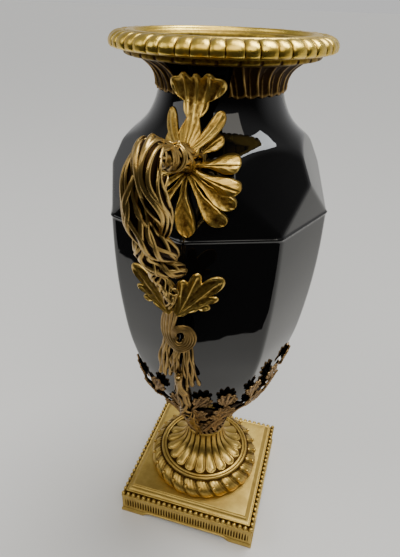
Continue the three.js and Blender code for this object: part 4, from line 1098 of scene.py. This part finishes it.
def pale_sheet():
    """A pale sheet that ends in a slightly wavy edge in front of the vase: three slow sines."""
    edge, side, far = -0.237, 30, 40
    across = np.linspace(-0.9, 0.9, 241)
    front = edge + 0.004 * np.sin(41 * across) + 0.003 * np.sin(97 * across + 1)
    front = front + 0.0015 * np.sin(233 * across)
    wavy = zip(across.tolist(), front.tolist(), [0.0] * len(across))
    corners = [(-side, edge, 0), *wavy, (side, edge, 0), (side, far, 0), (-side, far, 0)]
    sheet = bpy.data.meshes.new("floor")
    sheet.from_pydata(corners, [], [tuple(range(len(corners)))])
    floor = bpy.data.objects.new("floor", sheet)
    bpy.context.scene.collection.objects.link(floor)
    floor.data.materials.append(floor_material())


pale_sheet()


def soft_room():
    """Sky: pale behind the vase near the floor's level, darker upwards, dim grey overhead and
    nearly dark low in front."""
    world = bpy.data.worlds.new("soft_room")
    bpy.context.scene.world = world
    world.use_nodes = True
    sky = world.node_tree
    split = node(sky, "ShaderNodeSeparateXYZ")
    sky.links.new(node(sky, "ShaderNodeTexCoord").outputs["Generated"], split.inputs[0])
    behind = ramp_value(sky, split.outputs["Y"], -0.35, 0.45)
    height = ramp_value(sky, split.outputs["Z"], 0.02, 0.7, 0.62, 0.22)
    above = ramp_value(sky, split.outputs["Z"], 0.25, 0.75, 0.035, 0.3)
    total = math_node(sky, "MAXIMUM", math_node(sky, "MULTIPLY", behind, height), above)
    sky.links.new(total, sky.nodes["Background"].inputs["Color"])


soft_room()


def soft_box(name, place, target, width, height, power, colour=(1, 1, 1)):
    """A rectangular lamp at a place that faces a target."""
    lamp = bpy.data.lights.new(name, "AREA")
    lamp.shape = "RECTANGLE"
    lamp.size, lamp.size_y = width, height
    lamp.energy = power
    lamp.color = colour
    holder = bpy.data.objects.new(name, lamp)
    holder.location = place
    holder.rotation_euler = (Vector(target) - Vector(place)).to_track_quat("-Z", "Y").to_euler()
    bpy.context.scene.collection.objects.link(holder)
    return holder


sun = bpy.data.lights.new("back_light", "SUN")
sun.energy = 2.0
sun.angle = math.radians(36)
sun.color = (1.0, 0.99, 0.96)
sun_holder = bpy.data.objects.new("back_light", sun)
sun_holder.rotation_euler = Vector((-0.22, -0.3, -1.0)).to_track_quat("-Z", "Y").to_euler()
bpy.context.scene.collection.objects.link(sun_holder)
window = soft_box("window", (0.355, 0.11, 1.045), (0.04, -0.04, 0.385), 0.36, 0.42, 5, (0.93, 0.97, 1.0))
# It shows in the glaze and the metal, but lights no matt surface, the floor included
window.visible_diffuse = False
soft_box("front_top", (0.35, -1.05, 1.75), (0, 0, 0.25), 1.7, 1.2, 17, (1.0, 0.95, 0.85))
soft_box("left_fill", (-1.2, -0.7, 1.2), (0, 0, 0.3), 0.9, 0.9, 5)

# The camera as fitted to the photograph: focal length and picture height in its pixels
FOCAL_PIXELS, PICTURE_HEIGHT, SENSOR = 472, 557, 36
lens = bpy.data.cameras.new("view")
lens.sensor_width = SENSOR
lens.lens = FOCAL_PIXELS / PICTURE_HEIGHT * SENSOR
lens.clip_end = 200
holder = bpy.data.objects.new("view", lens)
bpy.context.scene.collection.objects.link(holder)
yaw, pitch, roll = -0.2717, math.radians(30.54), 0.0314
forward = Vector((math.sin(yaw) * math.cos(pitch), math.cos(yaw) * math.cos(pitch), -math.sin(pitch)))
level_right = Vector((math.cos(yaw), -math.sin(yaw), 0))
level_up = level_right.cross(forward)
right = math.cos(roll) * level_right + math.sin(roll) * level_up
up = -math.sin(roll) * level_right + math.cos(roll) * level_up
turn = Matrix((right, up, -forward)).transposed()
holder.matrix_world = Matrix.Translation((0.0847, -0.3428, 0.4670)) @ turn.to_4x4()
bpy.context.scene.camera = holder
